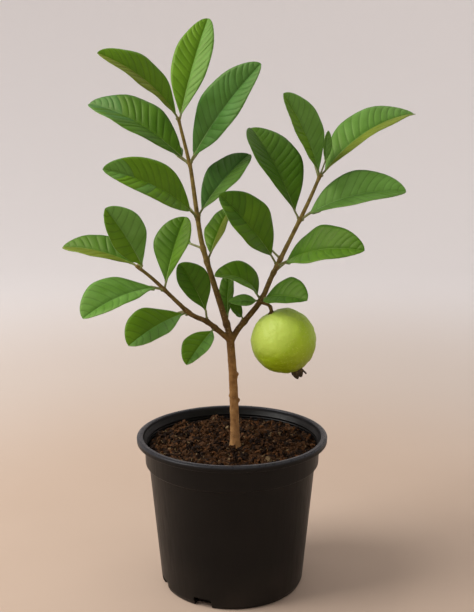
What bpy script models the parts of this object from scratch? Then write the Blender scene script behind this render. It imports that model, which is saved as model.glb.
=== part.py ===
"""A young guava tree with one ripe fruit, standing in a round black nursery pot of potting mix.

The frame is +Z up, with the origin in the middle of the pot's flat underside, and the front of the
tree facing -Y. Every length below is in millimetres and every angle in degrees; MM and radians()
turn them into Blender's units.
"""

from collections import namedtuple
from math import cos, log, pi, radians, sin, tan

import bmesh
import bpy
from mathutils import Quaternion, Vector

MM = 0.001
GAP = 0.35  # clear space between neighbouring solids

# Pot: a thin moulded shell with a turned-out lip, a deeper collar under it, and a tapering wall.
POT_SEGMENTS = 32
POT_HEIGHT = 162.0
RIM_RADIUS = 100.0
LIP_DEPTH = 6.5
LIP_WIDTH = 6.8
LIP_ROUND = 1.0
LIP_CHAMFER = 0.6  # on the lip's inner edge
LIP_THICKENING = 3.5  # the depth below the lip over which the wall thickens into it
COLLAR_RADIUS = 91.0
COLLAR_FLARE = 1.1  # how much wider the collar is at the lip than at its bottom
COLLAR_BOTTOM = 131.0
WALL_TOP_RADIUS = 87.3
WALL_FOOT_RADIUS = 75.6
FOOT_CHAMFER = 5.0
FOOT_RADIUS = 73.2
INNER_FOOT_RADIUS = 73.0
WALL = 1.6
FLOOR = 3.0

# Drain slots through the bottom edge, evenly spaced over most of the way round.
DRAIN_COUNT = 6
DRAIN_FIRST_BEARING = -24.0
DRAIN_STEP = -46.0
DRAIN_WIDTH = 18.0
DRAIN_HEIGHT = 8.0
DRAIN_DEPTH = 16.0
DRAIN_BOTTOM = -1.0  # a drain's cutter starts just below the pot's underside
DRAIN_REACH = 74.1

SOIL_TOP = 146.5

# Trunk: leans a little to the left and flares where it leaves the soil.
TRUNK_FOOT = (3.2, 0.0)
TRUNK_WAY = ((2.7, 0, 171), (2.1, 0, 198), (0.7, 0, 229), (-1.3, 0, 257), (-2.4, 0, 268))
TRUNK_RADIUS = 5.1
TRUNK_TOP_RADIUS = 4.1
FLARE_HEIGHT = 12.0
FLARE_GROWTH = 1.6
FLARE_STEPS = 4
TRUNK_RESOLUTION = 4
BOUGH_RESOLUTION = 3
TWIG_RESOLUTION = 2
STALK_RESOLUTION = 1
SMOOTH_ANGLE = 40

# A shoot is a limb with the foliage it carries: the points that it passes through, from inside the
# trunk's fork to its tip, its radius at each end, and how far along it the bare bough ends.
Shoot = namedtuple("Shoot", "way foot_radius tip_radius bough_length")
SHOOTS = {
    "leader": Shoot(
        (
            (-1.5, 0, 258), (-2.7, 0, 269.5), (-16, 5, 312.5), (-29.5, 11, 356), (-35, 14, 387),
            (-40.6, 16, 429), (-43.2, 15, 444), (-51.6, 10, 480), (-53.4, 9, 488),
        ),
        3.6, 1.5, 128,
    ),
    "left": Shoot(
        (
            (-1.5, 0, 262), (-14.8, -7, 275), (-26, -15, 285.7), (-41, -25, 295),
            (-58.5, -35, 314), (-77, -41, 333.6), (-92.6, -44, 347),
        ),
        3.1, 1.5, 91,
    ),
    "right": Shoot(
        (
            (-0.5, 0, 262), (5, 3.5, 271.5), (12.4, 7, 280.2), (30.2, 14, 301.6),
            (40.4, 20, 323.7), (57.8, 29, 357.5), (79, 37, 400), (92.1, 40, 430),
        ),
        3.3, 1.7, 138,
    ),
}
WAY_STEPS = 3

# A leaf stands on a shoot so far along it. A bearing is measured in the XZ plane from straight up
# towards +X, and "toward" is how far the leaf turns out of that plane to the front. Roll turns the
# blade's face about its length, droop is how much the blade arches over from base to tip, and
# belly is where along the blade it is widest.
Leaf = namedtuple(
    "Leaf", "shoot along stalk stalk_bearing bearing toward length width roll droop belly"
)
LEAVES = {
    "top_foliage": (
        Leaf("leader", 235, 5, 22, 15, -25, 112, 45, -20, 20, 0.52),
        Leaf("leader", 235, 6, -27, -51, 25, 100, 46, 57, 45, 0.50),
        Leaf("leader", 190, 10, -51, -61, -15, 115, 57, 50, 45, 0.50),
        Leaf("leader", 190, 9, 27, 37, 20, 118, 53, -35, 25, 0.54),
        Leaf("leader", 135, 12, -42, -61, 30, 106, 54, 50, 45, 0.48),
        Leaf("leader", 135, 10, 29, 42, -35, 90, 42, -38, 30, 0.52),
        Leaf("leader", 190, 16, -62, -62, -50, 78, 36, 90, 20, 0.50),
        Leaf("leader", 190, 16, 37, 37, -50, 80, 42, -90, 20, 0.50),
        Leaf("leader", 135, 16, -45, -45, -50, 84, 38, -90, 20, 0.50),
    ),
    "left_foliage": (
        Leaf("left", 132, 4.5, -57, -79, -15, 76, 40, 62, 35, 0.50),
        Leaf("left", 129, 4, 38, -28, 20, 70, 46, 40, 25, 0.57),
        Leaf("left", 97, 10.5, -71, -107, 38, 84, 56, 62, 40, 0.58),
        Leaf("left", 97, 6, 13, 16, -25, 72, 46, -35, 22, 0.60),
        Leaf("left", 129, 12, -30, -30, -60, 78, 40, -60, 20, 0.52),
        Leaf("left", 97, 16, -90, -90, -50, 76, 38, -90, 20, 0.52),
    ),
    "right_foliage": (
        Leaf("right", 145, 11, -28, -28, -30, 112, 66, 43, 25, 0.55),
        Leaf("right", 145, 12.5, 55, 76, 8, 101, 63, -60, 44, 0.50),
        Leaf("right", 195, 5.5, -16, -26, 18, 92, 48, 47, 25, 0.53),
        Leaf("right", 195, 7.5, 47, 59, -18, 120, 62, -62, 52, 0.52),
        Leaf("right", 195, 17, 20, 5, -5, 31, 14, 40, -15, 0.50),
        Leaf("right", 145, 22, 62, 62, -50, 78, 36, 90, 20, 0.50),
        Leaf("right", 193, 16, -14, -14, -50, 78, 40, 90, 20, 0.52),
    ),
    "leader_leaf_low": (Leaf("leader", 22, 4, 8, 3, -35, 53, 20, -30, 20, 0.50),),
    "leader_leaf_middle": (Leaf("leader", 89, 10.5, 25, 25, -40, 66, 32, -50, 20, 0.50),),
    "leader_leaf_back": (Leaf("leader", 103, 17, -75, -74, -38, 44, 28, 30, 20, 0.50),),
    "left_leaf_low": (Leaf("left", 24, 4.5, -134, -137, 45, 51, 34, 45, 20, 0.52),),
    "left_leaf_upper": (Leaf("left", 36, 11, -6, -29, -8, 55, 40, 38, 22, 0.58),),
    "left_leaf_middle": (Leaf("left", 60, 5, -89, -114, 38, 70, 50, 52, 35, 0.60),),
    "left_leaf_back": (Leaf("left", 64, 16, -118, -122, -52, 64, 36, -90, 20, 0.55),),
    "right_leaf_low": (Leaf("right", 23.5, 6.5, -20, -43, 20, 20, 16, 50, 30, 0.50),),
    "right_leaf_inner": (Leaf("right", 52, 6, -85, -84, 35, 35, 14, 30, 20, 0.50),),
    "right_leaf_arched": (Leaf("right", 52, 7, -32, -64, 10, 50, 44, 65, 95, 0.45),),
    "right_leaf_outer": (Leaf("right", 54, 4, 63, 84, 42, 55, 47, -64, 35, 0.49),),
    "right_leaf_tall": (Leaf("right", 92, 12.5, -29, -40, 10, 85, 60, 46, 25, 0.52),),
    "right_leaf_wide": (Leaf("right", 92, 14, 57, 75, 38, 95, 56, -58, 45, 0.50),),
    "right_leaf_back": (Leaf("right", 100, 16, -50, -50, -50, 78, 36, -90, 20, 0.52),),
    "right_leaf_rear": (Leaf("right", 84, 22, 60, 60, -50, 74, 36, 90, 20, 0.52),),
}
BLADE_ROWS = 8
BLADE_COLUMNS = 4
BLADE_FOLD = 26.0
BLADE_EDGE_CURL = 0.12
BLADE_FOOT_WIDTH = 2.0
BLADE_TIP_WIDTH = 1.2
FOOT_POINTEDNESS = 0.95  # the more, the more pointed the blade is at that end
TIP_POINTEDNESS = 0.60
BLADE_THINNESS = 90.0  # length over thickness
STALK_RADIUS = 1.1
STALK_RADIUS_SMALL = 0.8
SMALL_LEAF = 40.0
SHORTEST_STALK = 1.2
STALK_REACH = 0.10  # how far up the blade the stalk runs, as a share of the blade's length

# Fruit: hangs beside the right bough, its lower end tipped outwards.
FRUIT_CENTRE = (53.3, -3.0, 262.7)
FRUIT_RADIUS = 33.5
FRUIT_AXIS = (-28.8, 4.0, 62.8)
FRUIT_LENGTH = 67.0
FRUIT_POINTS = 14
FRUIT_SEGMENTS = 24
FRUIT_DIMPLE = 2.4
DIMPLE_SHARPNESS = 24  # the more, the narrower the dimple
FRUIT_STALK_ALONG = 50.0
FRUIT_STALK_WAY = ((38, 6, 298), (40.2, 0, 294.5))
FRUIT_STALK_RADII = (1.6, 1.9, 2.3, 2.8)
FRUIT_STALK_END = 29.0  # from the fruit's centre
FRUIT_STALK_SPACING = 1.0  # clear of the bough's surface
CALYX_LOBES = 5
CALYX_LOBE_LENGTH = 10.0
CALYX_LOBE_RADIUS = 2.6
CALYX_TIP_RADIUS = 0.7
CALYX_SINK = 0.25  # the share of a lobe that sits inside the fruit
CALYX_RING_RADIUS = 4.2
CALYX_SPREAD = 34.0
CALYX_DEPTH = 1.0


def heading(bearing, toward):
    """The unit vector with this bearing that leans out to the front by this angle."""
    return Vector((
        cos(radians(toward)) * sin(radians(bearing)),
        -sin(radians(toward)),
        cos(radians(toward)) * cos(radians(bearing)),
    ))


def smooth_way(points, steps):
    """Points on a smooth curve through these ones, with this many steps between each two."""
    points = [Vector(point) for point in points]
    ends = [2 * points[0] - points[1], *points, 2 * points[-1] - points[-2]]
    way = []
    for before, start, end, after in zip(ends, ends[1:], ends[2:], ends[3:]):
        for step in range(steps):
            t = step / steps
            way.append(
                start
                + (end - before) * t / 2
                + (2 * before - 5 * start + 4 * end - after) * t**2 / 2
                + (3 * start - before - 3 * end + after) * t**3 / 2
            )
    return [*way, points[-1]]


def along_way(way, distance):
    """The point this far along the way, with the way's direction there."""
    for start, end in zip(way, way[1:]):
        length = (end - start).length
        if distance <= length or end is way[-1]:
            break
        distance -= length
    direction = (end - start).normalized()
    return start + direction * min(distance, length), direction


def way_length(way):
    return sum((end - start).length for start, end in zip(way, way[1:]))


def shoot_way(shoot, start=0.0, end=None):
    """The shoot's own curve between two distances along it, with the radius at each point."""
    way = smooth_way(shoot.way, WAY_STEPS)
    whole = way_length(way)
    end = whole if end is None else end
    travelled = [way_length(way[: index + 1]) for index in range(len(way))]
    kept = [start, *[distance for distance in travelled if start + 1 < distance < end - 1], end]
    points = [along_way(way, distance)[0] for distance in kept]
    taper = shoot.tip_radius - shoot.foot_radius
    return points, [shoot.foot_radius + taper * distance / whole for distance in kept]


def named(name, obj, collection):
    for other in obj.users_collection:
        other.objects.unlink(obj)
    collection.objects.link(obj)
    obj.name = name
    return obj


def tube(name, points, radii, collection, resolution):
    """A closed round tube through these points, as a mesh with its end caps welded on."""
    curve = bpy.data.curves.new(name, "CURVE")
    curve.dimensions = "3D"
    curve.bevel_depth = MM
    curve.bevel_resolution = resolution
    curve.use_fill_caps = True
    spline = curve.splines.new("POLY")
    spline.points.add(len(points) - 1)
    for target, point, radius in zip(spline.points, points, radii):
        target.co = (*(point * MM), 1)
        target.radius = radius
    guide = bpy.data.objects.new(name + "_guide", curve)
    collection.objects.link(guide)
    evaluated = guide.evaluated_get(bpy.context.evaluated_depsgraph_get())
    mesh = bpy.data.meshes.new_from_object(evaluated)
    bpy.data.objects.remove(guide)
    shape = bmesh.new()
    shape.from_mesh(mesh)
    bmesh.ops.remove_doubles(shape, verts=shape.verts, dist=0.01 * MM)
    bmesh.ops.recalc_face_normals(shape, faces=shape.faces)
    shape.to_mesh(mesh)
    shape.free()
    mesh.name = name
    return named(name, bpy.data.objects.new(name, mesh), collection)


def turned(name, profile, segments, collection):
    """A closed turned body: the profile's (radius, height) points, spun about Z by a Screw."""
    mesh = bpy.data.meshes.new(name)
    shape = bmesh.new()
    verts = [shape.verts.new((radius * MM, 0, height * MM)) for radius, height in profile]
    for start, end in zip(verts, verts[1:]):
        shape.edges.new((start, end))
    shape.to_mesh(mesh)
    shape.free()
    obj = named(name, bpy.data.objects.new(name, mesh), collection)
    screw = obj.modifiers.new("turn", "SCREW")
    screw.steps = segments
    screw.render_steps = segments
    screw.use_merge_vertices = True
    screw.merge_threshold = 0.01 * MM
    return obj


def applied(obj):
    """Replaces the object's mesh with the one that its modifiers make."""
    evaluated = obj.evaluated_get(bpy.context.evaluated_depsgraph_get())
    mesh = bpy.data.meshes.new_from_object(evaluated)
    obj.modifiers.clear()
    obj.data = mesh
    return obj


def boolean(obj, operation, collection, solver="EXACT"):
    """Joins to the object, or cuts from it, everything in a collection of closed meshes."""
    modifier = obj.modifiers.new(operation.lower(), "BOOLEAN")
    modifier.operation = operation
    modifier.operand_type = "COLLECTION"
    modifier.collection = collection
    modifier.solver = solver


def join_all(obj, collection):
    """One Boolean union of the object with the collection, whose objects then go."""
    boolean(obj, "UNION", collection, "MANIFOLD")
    applied(obj)
    for other in list(collection.objects):
        bpy.data.objects.remove(other)
    bpy.data.collections.remove(collection)
    return obj


def new_collection(name, parent):
    collection = bpy.data.collections.new(name)
    parent.children.link(collection)
    return collection


def hide_cutter(obj):
    obj.hide_render = True
    obj.display_type = "WIRE"


def paint(obj, name, colour, roughness):
    """Gives the object a plain Principled material, made once for each name."""
    material = bpy.data.materials.get(name)
    if material is None:
        material = bpy.data.materials.new(name)
        material.use_nodes = True
        shader = material.node_tree.nodes["Principled BSDF"]
        shader.inputs["Base Color"].default_value = (*colour, 1)
        shader.inputs["Roughness"].default_value = roughness
        shader.inputs["Metallic"].default_value = 0
    obj.data.materials.clear()
    obj.data.materials.append(material)


def smooth(obj):
    obj.data.shade_smooth()
    obj.data.set_sharp_from_angle(angle=radians(SMOOTH_ANGLE))


# ---- Pot and potting mix


def pot_profile():
    inner_shoulder = WALL_TOP_RADIUS - WALL
    inner_collar = COLLAR_RADIUS - WALL
    lip_inner = RIM_RADIUS - LIP_WIDTH
    lip_bottom = POT_HEIGHT - LIP_DEPTH
    return (
        (0, FLOOR),
        (INNER_FOOT_RADIUS, FLOOR),
        (inner_shoulder, COLLAR_BOTTOM - WALL),
        (inner_collar, COLLAR_BOTTOM + WALL),
        (inner_collar + COLLAR_FLARE, lip_bottom - LIP_THICKENING),
        (lip_inner, POT_HEIGHT - LIP_CHAMFER),
        (lip_inner + LIP_ROUND, POT_HEIGHT),
        (RIM_RADIUS - LIP_ROUND, POT_HEIGHT),
        (RIM_RADIUS, POT_HEIGHT - LIP_ROUND),
        (RIM_RADIUS, lip_bottom + LIP_ROUND),
        (RIM_RADIUS - LIP_ROUND, lip_bottom),
        (COLLAR_RADIUS + COLLAR_FLARE, lip_bottom),
        (COLLAR_RADIUS, COLLAR_BOTTOM + WALL),
        (WALL_TOP_RADIUS, COLLAR_BOTTOM),
        (WALL_FOOT_RADIUS, FOOT_CHAMFER),
        (FOOT_RADIUS, 0),
        (0, 0),
    )


def make_pot(parts, cutters):
    pot = turned("pot", pot_profile(), POT_SEGMENTS, parts)
    drains = new_collection("drain_cutters", cutters)
    for index in range(DRAIN_COUNT):
        bearing = radians(DRAIN_FIRST_BEARING + index * DRAIN_STEP)
        bpy.ops.mesh.primitive_cube_add(size=1)
        cutter = named(f"drain_cutter_{index + 1}", bpy.context.object, drains)
        cutter.scale = Vector((DRAIN_WIDTH, DRAIN_DEPTH, DRAIN_HEIGHT - DRAIN_BOTTOM)) * MM
        middle = (DRAIN_HEIGHT + DRAIN_BOTTOM) / 2
        spot = Vector((DRAIN_REACH * sin(bearing), -DRAIN_REACH * cos(bearing), middle))
        cutter.location = spot * MM
        cutter.rotation_euler = (0, 0, bearing)
        hide_cutter(cutter)
    boolean(pot, "DIFFERENCE", drains, "MANIFOLD")
    paint(pot, "black_plastic", (0.012, 0.012, 0.013), 0.35)


def make_soil(parts):
    """The potting mix fills the pot to just under its lip, and stays clear of the shell."""
    shell = pot_profile()
    shoulder_radius, shoulder = shell[2]
    collar_radius, collar = shell[3]
    soil = turned(
        "potting_mix",
        (
            (0, SOIL_TOP),
            (collar_radius, SOIL_TOP),
            (collar_radius - GAP, collar),
            (shoulder_radius - GAP, shoulder),
            (shell[1][0] - GAP, FLOOR + GAP),
            (0, FLOOR + GAP),
        ),
        POT_SEGMENTS,
        parts,
    )
    paint(soil, "potting_mix", (0.035, 0.02, 0.012), 0.95)


# ---- Trunk and boughs


def trunk_tube(name, grow, collection):
    """The trunk, flat where it meets the soil; a grown copy of it cuts the boughs clear."""
    foot = SOIL_TOP + GAP
    x, y = TRUNK_FOOT
    low_heights = [foot + FLARE_HEIGHT * step / FLARE_STEPS for step in range(FLARE_STEPS)]
    upper = smooth_way(((x, y, foot + FLARE_HEIGHT), *TRUNK_WAY), WAY_STEPS)
    points = [*[Vector((x, y, height)) for height in low_heights], *upper]
    top = points[-1].z
    radii = []
    for point in points:
        height = (point.z - foot) / (top - foot)
        flare = max(0.0, 1 - (point.z - foot) / FLARE_HEIGHT)
        radius = TRUNK_RADIUS + (TRUNK_TOP_RADIUS - TRUNK_RADIUS) * height
        radii.append(radius + FLARE_GROWTH * flare**2 + grow)
    if grow:
        points[-1] = points[-1] + Vector((0, 0, grow))
    return tube(name, points, radii, collection, TRUNK_RESOLUTION)


def bough_tube(name, shoot, grow, collection):
    start = GAP if grow == 0 else 0
    points, radii = shoot_way(shoot, start, shoot.bough_length)
    return tube(name, points, [radius + grow for radius in radii], collection, BOUGH_RESOLUTION)


def make_limbs(parts, cutters):
    trunk = trunk_tube("trunk", 0, parts)
    paint(trunk, "trunk_bark", (0.24, 0.15, 0.09), 0.85)
    smooth(trunk)
    fork = new_collection("fork_cutters", cutters)
    hide_cutter(trunk_tube("trunk_cutter", GAP, fork))
    leader = bough_tube("leader_bough", SHOOTS["leader"], 0, parts)
    boolean(leader, "DIFFERENCE", fork)
    side_fork = new_collection("side_fork_cutters", cutters)
    hide_cutter(trunk_tube("trunk_side_cutter", GAP, side_fork))
    hide_cutter(bough_tube("leader_cutter", SHOOTS["leader"], GAP, side_fork))
    boughs = [leader]
    for side in ("left", "right"):
        bough = bough_tube(side + "_bough", SHOOTS[side], 0, parts)
        boolean(bough, "DIFFERENCE", side_fork)
        boughs.append(bough)
    for bough in boughs:
        applied(bough)
        paint(bough, "bough_bark", (0.15, 0.08, 0.045), 0.8)
        smooth(bough)


# ---- Foliage


def outline(u, belly):
    """Half the blade's width at u along it, as a share of its greatest."""
    swell = u ** (log(0.5) / log(belly))
    return max(0.0, sin(pi * swell)) ** (FOOT_POINTEDNESS * (1 - u) + TIP_POINTEDNESS * u)


class Blade:
    """The curved surface of one leaf: an arched midrib, with both halves folded up from it."""

    def __init__(self, leaf, foot):
        self.leaf = leaf
        self.foot = foot
        self.chord = heading(leaf.bearing, leaf.toward)
        front = Vector((0, -1, 0))
        face = (front - self.chord * front.dot(self.chord)).normalized()
        self.face = Quaternion(self.chord, radians(leaf.roll)) @ face
        self.side = self.chord.cross(self.face)
        self.arch_radius = leaf.length / (2 * sin(radians(leaf.droop) / 2))

    def midrib(self, u):
        """The midrib's point at u, with the face's direction there."""
        half = radians(self.leaf.droop) / 2
        angle = radians(self.leaf.droop) * (u - 0.5)
        forward = self.arch_radius * (sin(angle) + sin(half))
        rise = self.arch_radius * (cos(angle) - cos(half))
        face = self.face * cos(angle) + self.chord * sin(angle)
        return self.foot + self.chord * forward + self.face * rise, face

    def point(self, u, across):
        """The surface's point at u along the blade and across it from -1 to 1."""
        middle, face = self.midrib(u)
        narrowest = BLADE_FOOT_WIDTH * (1 - u) + BLADE_TIP_WIDTH * u
        half_width = max(self.leaf.width * outline(u, self.leaf.belly), narrowest) / 2
        fold = radians(BLADE_FOLD)
        rise = abs(across) * sin(fold) - BLADE_EDGE_CURL * across**2
        return middle + self.side * across * half_width * cos(fold) + face * half_width * rise


def make_blade(name, blade, collection):
    """A grid shaped to the blade's surface and thickened."""
    shape = bmesh.new()
    bmesh.ops.create_grid(shape, x_segments=BLADE_COLUMNS, y_segments=BLADE_ROWS, size=1)
    for vert in shape.verts:
        vert.co = blade.point((vert.co.y + 1) / 2, vert.co.x) * MM
    mesh = bpy.data.meshes.new(name)
    shape.to_mesh(mesh)
    shape.free()
    obj = named(name, bpy.data.objects.new(name, mesh), collection)
    solidify = obj.modifiers.new("thickness", "SOLIDIFY")
    solidify.thickness = blade.leaf.length / BLADE_THINNESS * MM
    solidify.offset = 0
    return applied(obj)


def leaf_pieces(name, leaf, start_clear, collection):
    """The stalk and the blade of one leaf. The stalk starts in the shoot, or clear of it."""
    shoot = SHOOTS[leaf.shoot]
    way = smooth_way(shoot.way, WAY_STEPS)
    node, limb = along_way(way, leaf.along)
    direction = heading(leaf.stalk_bearing, leaf.toward)
    radius = STALK_RADIUS_SMALL if leaf.length < SMALL_LEAF else STALK_RADIUS
    clear = 0
    if start_clear:
        taper = (shoot.tip_radius - shoot.foot_radius) / way_length(way)
        limb_radius = shoot.foot_radius + taper * leaf.along
        lean = abs(direction.dot(limb))
        clear = (limb_radius + GAP + radius * lean) / (1 - lean**2) ** 0.5
    start = node + direction * clear
    foot = node + direction * max(leaf.stalk, clear + SHORTEST_STALK)
    blade = Blade(leaf, foot)
    sunk = [blade.midrib(STALK_REACH * step / 2)[0] for step in (1, 2)]
    stalk = tube(name + "_stalk", [start, foot, *sunk], [radius] * 4, collection, STALK_RESOLUTION)
    return stalk, make_blade(name + "_blade", blade, collection)


def make_foliage(name, leaves, parts):
    """One mass: the shoot's own tip with its leaves, or a single leaf that stands on a bough."""
    fused = new_collection(name + "_pieces", parts)
    single = len(leaves) == 1
    stems = []
    for number, leaf in enumerate(leaves, 1):
        stalk, _ = leaf_pieces(f"{name}_{number}", leaf, single, fused)
        stems.append(stalk)
    if single:
        body = named(name, stems[0], parts)
    else:
        shoot = SHOOTS[leaves[0].shoot]
        points, radii = shoot_way(shoot, shoot.bough_length + GAP)
        body = tube(name, points, radii, parts, TWIG_RESOLUTION)
    join_all(body, fused)
    paint(body, "leaf_green", (0.05, 0.16, 0.03), 0.45)
    smooth(body)


# ---- Fruit


def fruit_profile():
    """Top to bottom: a slightly long ball with a shallow dimple round its stalk."""
    profile = []
    for index in range(FRUIT_POINTS + 1):
        angle = pi * index / FRUIT_POINTS
        dimple = FRUIT_DIMPLE * max(0.0, cos(angle)) ** DIMPLE_SHARPNESS
        height = FRUIT_LENGTH / 2 * cos(angle) - dimple
        profile.append((FRUIT_RADIUS * sin(angle), height))
    return [(0, profile[0][1]), *profile[1:-1], (0, profile[-1][1])]


def make_fruit(parts):
    """The fruit with its stalk and the dried calyx, fused into one body."""
    fused = new_collection("guava_fruit_pieces", parts)
    centre = Vector(FRUIT_CENTRE)
    axis = Vector(FRUIT_AXIS).normalized()
    turn = Vector((0, 0, 1)).rotation_difference(axis)
    ball = applied(turned("guava_fruit", fruit_profile(), FRUIT_SEGMENTS, parts))
    ball.rotation_mode = "QUATERNION"
    ball.rotation_quaternion = turn
    ball.location = centre * MM
    way = smooth_way(SHOOTS["right"].way, WAY_STEPS)
    node, _ = along_way(way, FRUIT_STALK_ALONG)
    route = [node, *[Vector(point) for point in FRUIT_STALK_WAY]]
    direction = (route[1] - route[0]).normalized()
    route[0] = node + direction * (SHOOTS["right"].foot_radius + FRUIT_STALK_SPACING)
    route.append(centre + axis * FRUIT_STALK_END)
    tube("fruit_stalk", route, FRUIT_STALK_RADII, fused, TWIG_RESOLUTION)
    base = centre - axis * (FRUIT_LENGTH / 2 - CALYX_DEPTH)
    for index in range(CALYX_LOBES):
        around = Quaternion((0, 0, 1), 2 * pi * index / CALYX_LOBES)
        out = turn @ (around @ Vector((1, 0, 0)))
        bpy.ops.mesh.primitive_cone_add(
            vertices=6,
            radius1=CALYX_LOBE_RADIUS * MM,
            radius2=CALYX_TIP_RADIUS * MM,
            depth=CALYX_LOBE_LENGTH * MM,
        )
        lobe = named(f"calyx_lobe_{index + 1}", bpy.context.object, fused)
        tip_direction = (out * tan(radians(CALYX_SPREAD)) - axis).normalized()
        lobe.rotation_mode = "QUATERNION"
        lobe.rotation_quaternion = Vector((0, 0, 1)).rotation_difference(tip_direction)
        foot = base + out * CALYX_RING_RADIUS
        lobe.location = (foot + tip_direction * CALYX_LOBE_LENGTH * (0.5 - CALYX_SINK)) * MM
    bpy.context.view_layer.update()
    join_all(ball, fused)
    paint(ball, "guava_skin", (0.42, 0.55, 0.09), 0.35)
    smooth(ball)


def main():
    for obj in list(bpy.data.objects):
        bpy.data.objects.remove(obj)
    scene = bpy.context.scene.collection
    parts = new_collection("potted_guava_tree", scene)
    cutters = new_collection("cutters", scene)
    make_pot(parts, cutters)
    make_soil(parts)
    make_limbs(parts, cutters)
    for name, leaves in LEAVES.items():
        make_foliage(name, leaves, parts)
    make_fruit(parts)


main()
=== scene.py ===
# %% [markdown]
# # A young guava tree in a black nursery pot
#
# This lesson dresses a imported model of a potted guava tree: a pot, its potting mix, a trunk with
# three boughs, a crown of opposite leaves and one ripe fruit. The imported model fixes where
# everything is and how large it is. It could be shown as it is, but its leaves have a few faces
# each, so here every visible part is made again in finer form on exactly the same places.
#
# The first cell loads the model, which stays fixed, and keeps the size of its box.

import random
from collections import namedtuple
from math import cos, log, pi, radians, sin

import bmesh
import bpy
from mathutils import Euler, Matrix, Quaternion, Vector, noise


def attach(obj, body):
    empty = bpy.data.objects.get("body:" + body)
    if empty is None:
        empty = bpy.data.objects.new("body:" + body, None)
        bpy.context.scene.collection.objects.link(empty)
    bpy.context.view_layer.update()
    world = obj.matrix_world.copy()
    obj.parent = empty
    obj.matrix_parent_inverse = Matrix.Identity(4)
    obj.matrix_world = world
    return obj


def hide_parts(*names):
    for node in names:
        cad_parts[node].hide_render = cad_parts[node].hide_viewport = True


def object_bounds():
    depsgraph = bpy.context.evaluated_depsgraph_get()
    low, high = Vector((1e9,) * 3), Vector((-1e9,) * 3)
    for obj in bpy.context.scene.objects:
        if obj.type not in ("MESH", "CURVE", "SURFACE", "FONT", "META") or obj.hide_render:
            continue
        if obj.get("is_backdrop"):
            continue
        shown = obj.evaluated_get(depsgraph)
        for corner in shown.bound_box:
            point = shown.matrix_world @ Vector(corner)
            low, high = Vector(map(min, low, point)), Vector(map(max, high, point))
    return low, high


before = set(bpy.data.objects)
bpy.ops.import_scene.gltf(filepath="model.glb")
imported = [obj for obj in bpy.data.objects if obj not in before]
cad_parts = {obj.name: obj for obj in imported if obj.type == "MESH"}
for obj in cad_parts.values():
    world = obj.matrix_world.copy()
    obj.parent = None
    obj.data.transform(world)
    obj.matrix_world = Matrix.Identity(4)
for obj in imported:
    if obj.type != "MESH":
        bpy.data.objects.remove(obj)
cad_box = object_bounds()
MM = 0.001
print("nodes:", len(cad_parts), "box in mm:", [round(side / MM) for side in cad_box[1] - cad_box[0]])

# %% [markdown]
# ## Tools for every piece
#
# Every piece below is made in the same few steps, so those steps are functions. A bmesh holds a
# mesh in memory while operators work on it, and new_object turns the finished bmesh into an object
# at the origin. A material is a tree of shader nodes: add makes one node and fills its sockets, so
# that a material reads as a list of what feeds what. A round piece, such as a pot, is one profile
# that is spun once about the upright axis.

# %% Tools
PROFILE_WELD = 0.001 * MM


def add(tree, kind, inputs=(), **settings):
    """Adds a shader node; inputs gives each socket a constant or another node's output."""
    node = tree.nodes.new("ShaderNode" + kind)
    for name, value in settings.items():
        setattr(node, name, value)
    for key, value in dict(inputs).items():
        if isinstance(value, bpy.types.NodeSocket):
            tree.links.new(value, node.inputs[key])
        else:
            node.inputs[key].default_value = value
    return node


def mixed(tree, factor, first, second):
    """The output of a colour Mix node, whose colour sockets are numbers 6 and 7."""
    return add(tree, "Mix", {0: factor, 6: first, 7: second}, data_type="RGBA").outputs[2]


def new_material(name, roughness, gloss=0.5):
    """A node material, with its tree and its Principled shader. Gloss is how much it reflects."""
    material = bpy.data.materials.new(name)
    material.use_nodes = True
    shader = material.node_tree.nodes["Principled BSDF"]
    shader.inputs["Roughness"].default_value = roughness
    shader.inputs["Specular IOR Level"].default_value = gloss
    return material, material.node_tree, shader


def new_object(name, shape, materials=()):
    """Turns a finished bmesh into a smooth object that sits at the origin."""
    mesh = bpy.data.meshes.new(name)
    shape.to_mesh(mesh)
    shape.free()
    mesh.shade_smooth()
    for material in materials:
        mesh.materials.append(material)
    piece = bpy.data.objects.new(name, mesh)
    bpy.context.scene.collection.objects.link(piece)
    return piece


def spin_round(shape, steps, weld):
    """Spins the line that the bmesh holds once round Z, and welds it where the turn closes."""
    bmesh.ops.spin(
        shape, geom=shape.verts[:] + shape.edges[:], cent=(0, 0, 0), axis=(0, 0, 1), angle=2 * pi,
        steps=steps, use_merge=True, use_duplicate=False,
    )
    bmesh.ops.remove_doubles(shape, verts=shape.verts, dist=weld)


def turn_profile(shape, points, steps):
    """Turns a line of (radius, height) points into a round body, in an empty bmesh."""
    verts = [shape.verts.new((radius, 0, height)) for radius, height in points]
    for pair in zip(verts, verts[1:]):
        shape.edges.new(pair)
    spin_round(shape, steps, PROFILE_WELD)


print("tools for:", bpy.app.version_string)

# %% [markdown]
# ## The studio
#
# The plant stands on a plain pale floor. A flat floor alone would end in a hard horizon, and a
# wall would hide the plant from behind, so the floor is a wide shallow bowl: its middle is flat,
# its rim rises all the way round beyond the camera, and it looks the same from every side. It is
# one profile turned about the upright axis with spin. Its warm sand colour fades in two steps to a
# cool pale grey away from the pot.

# %% Floor
FLOOR_FLAT = 1.9
BOWL_RISE = 1.7
BOWL_TOP = 2.6
BOWL_STEPS = 96
SAND = (0.55, 0.418, 0.326, 1)
SAND_GRIT = (0.40, 0.28, 0.20, 1)
# Each step's colour, with the distance from the middle where it starts and where it is reached.
FADES = (((0.60, 0.505, 0.440, 1), 0.32, 0.90), ((0.84, 0.795, 0.785, 1), 0.70, 2.0))
FLOOR_ROUGHNESS = 0.9
RISE_STEPS = 12
GRIT_SCALE = 9.0
GRIT_MOST = 0.16

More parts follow.
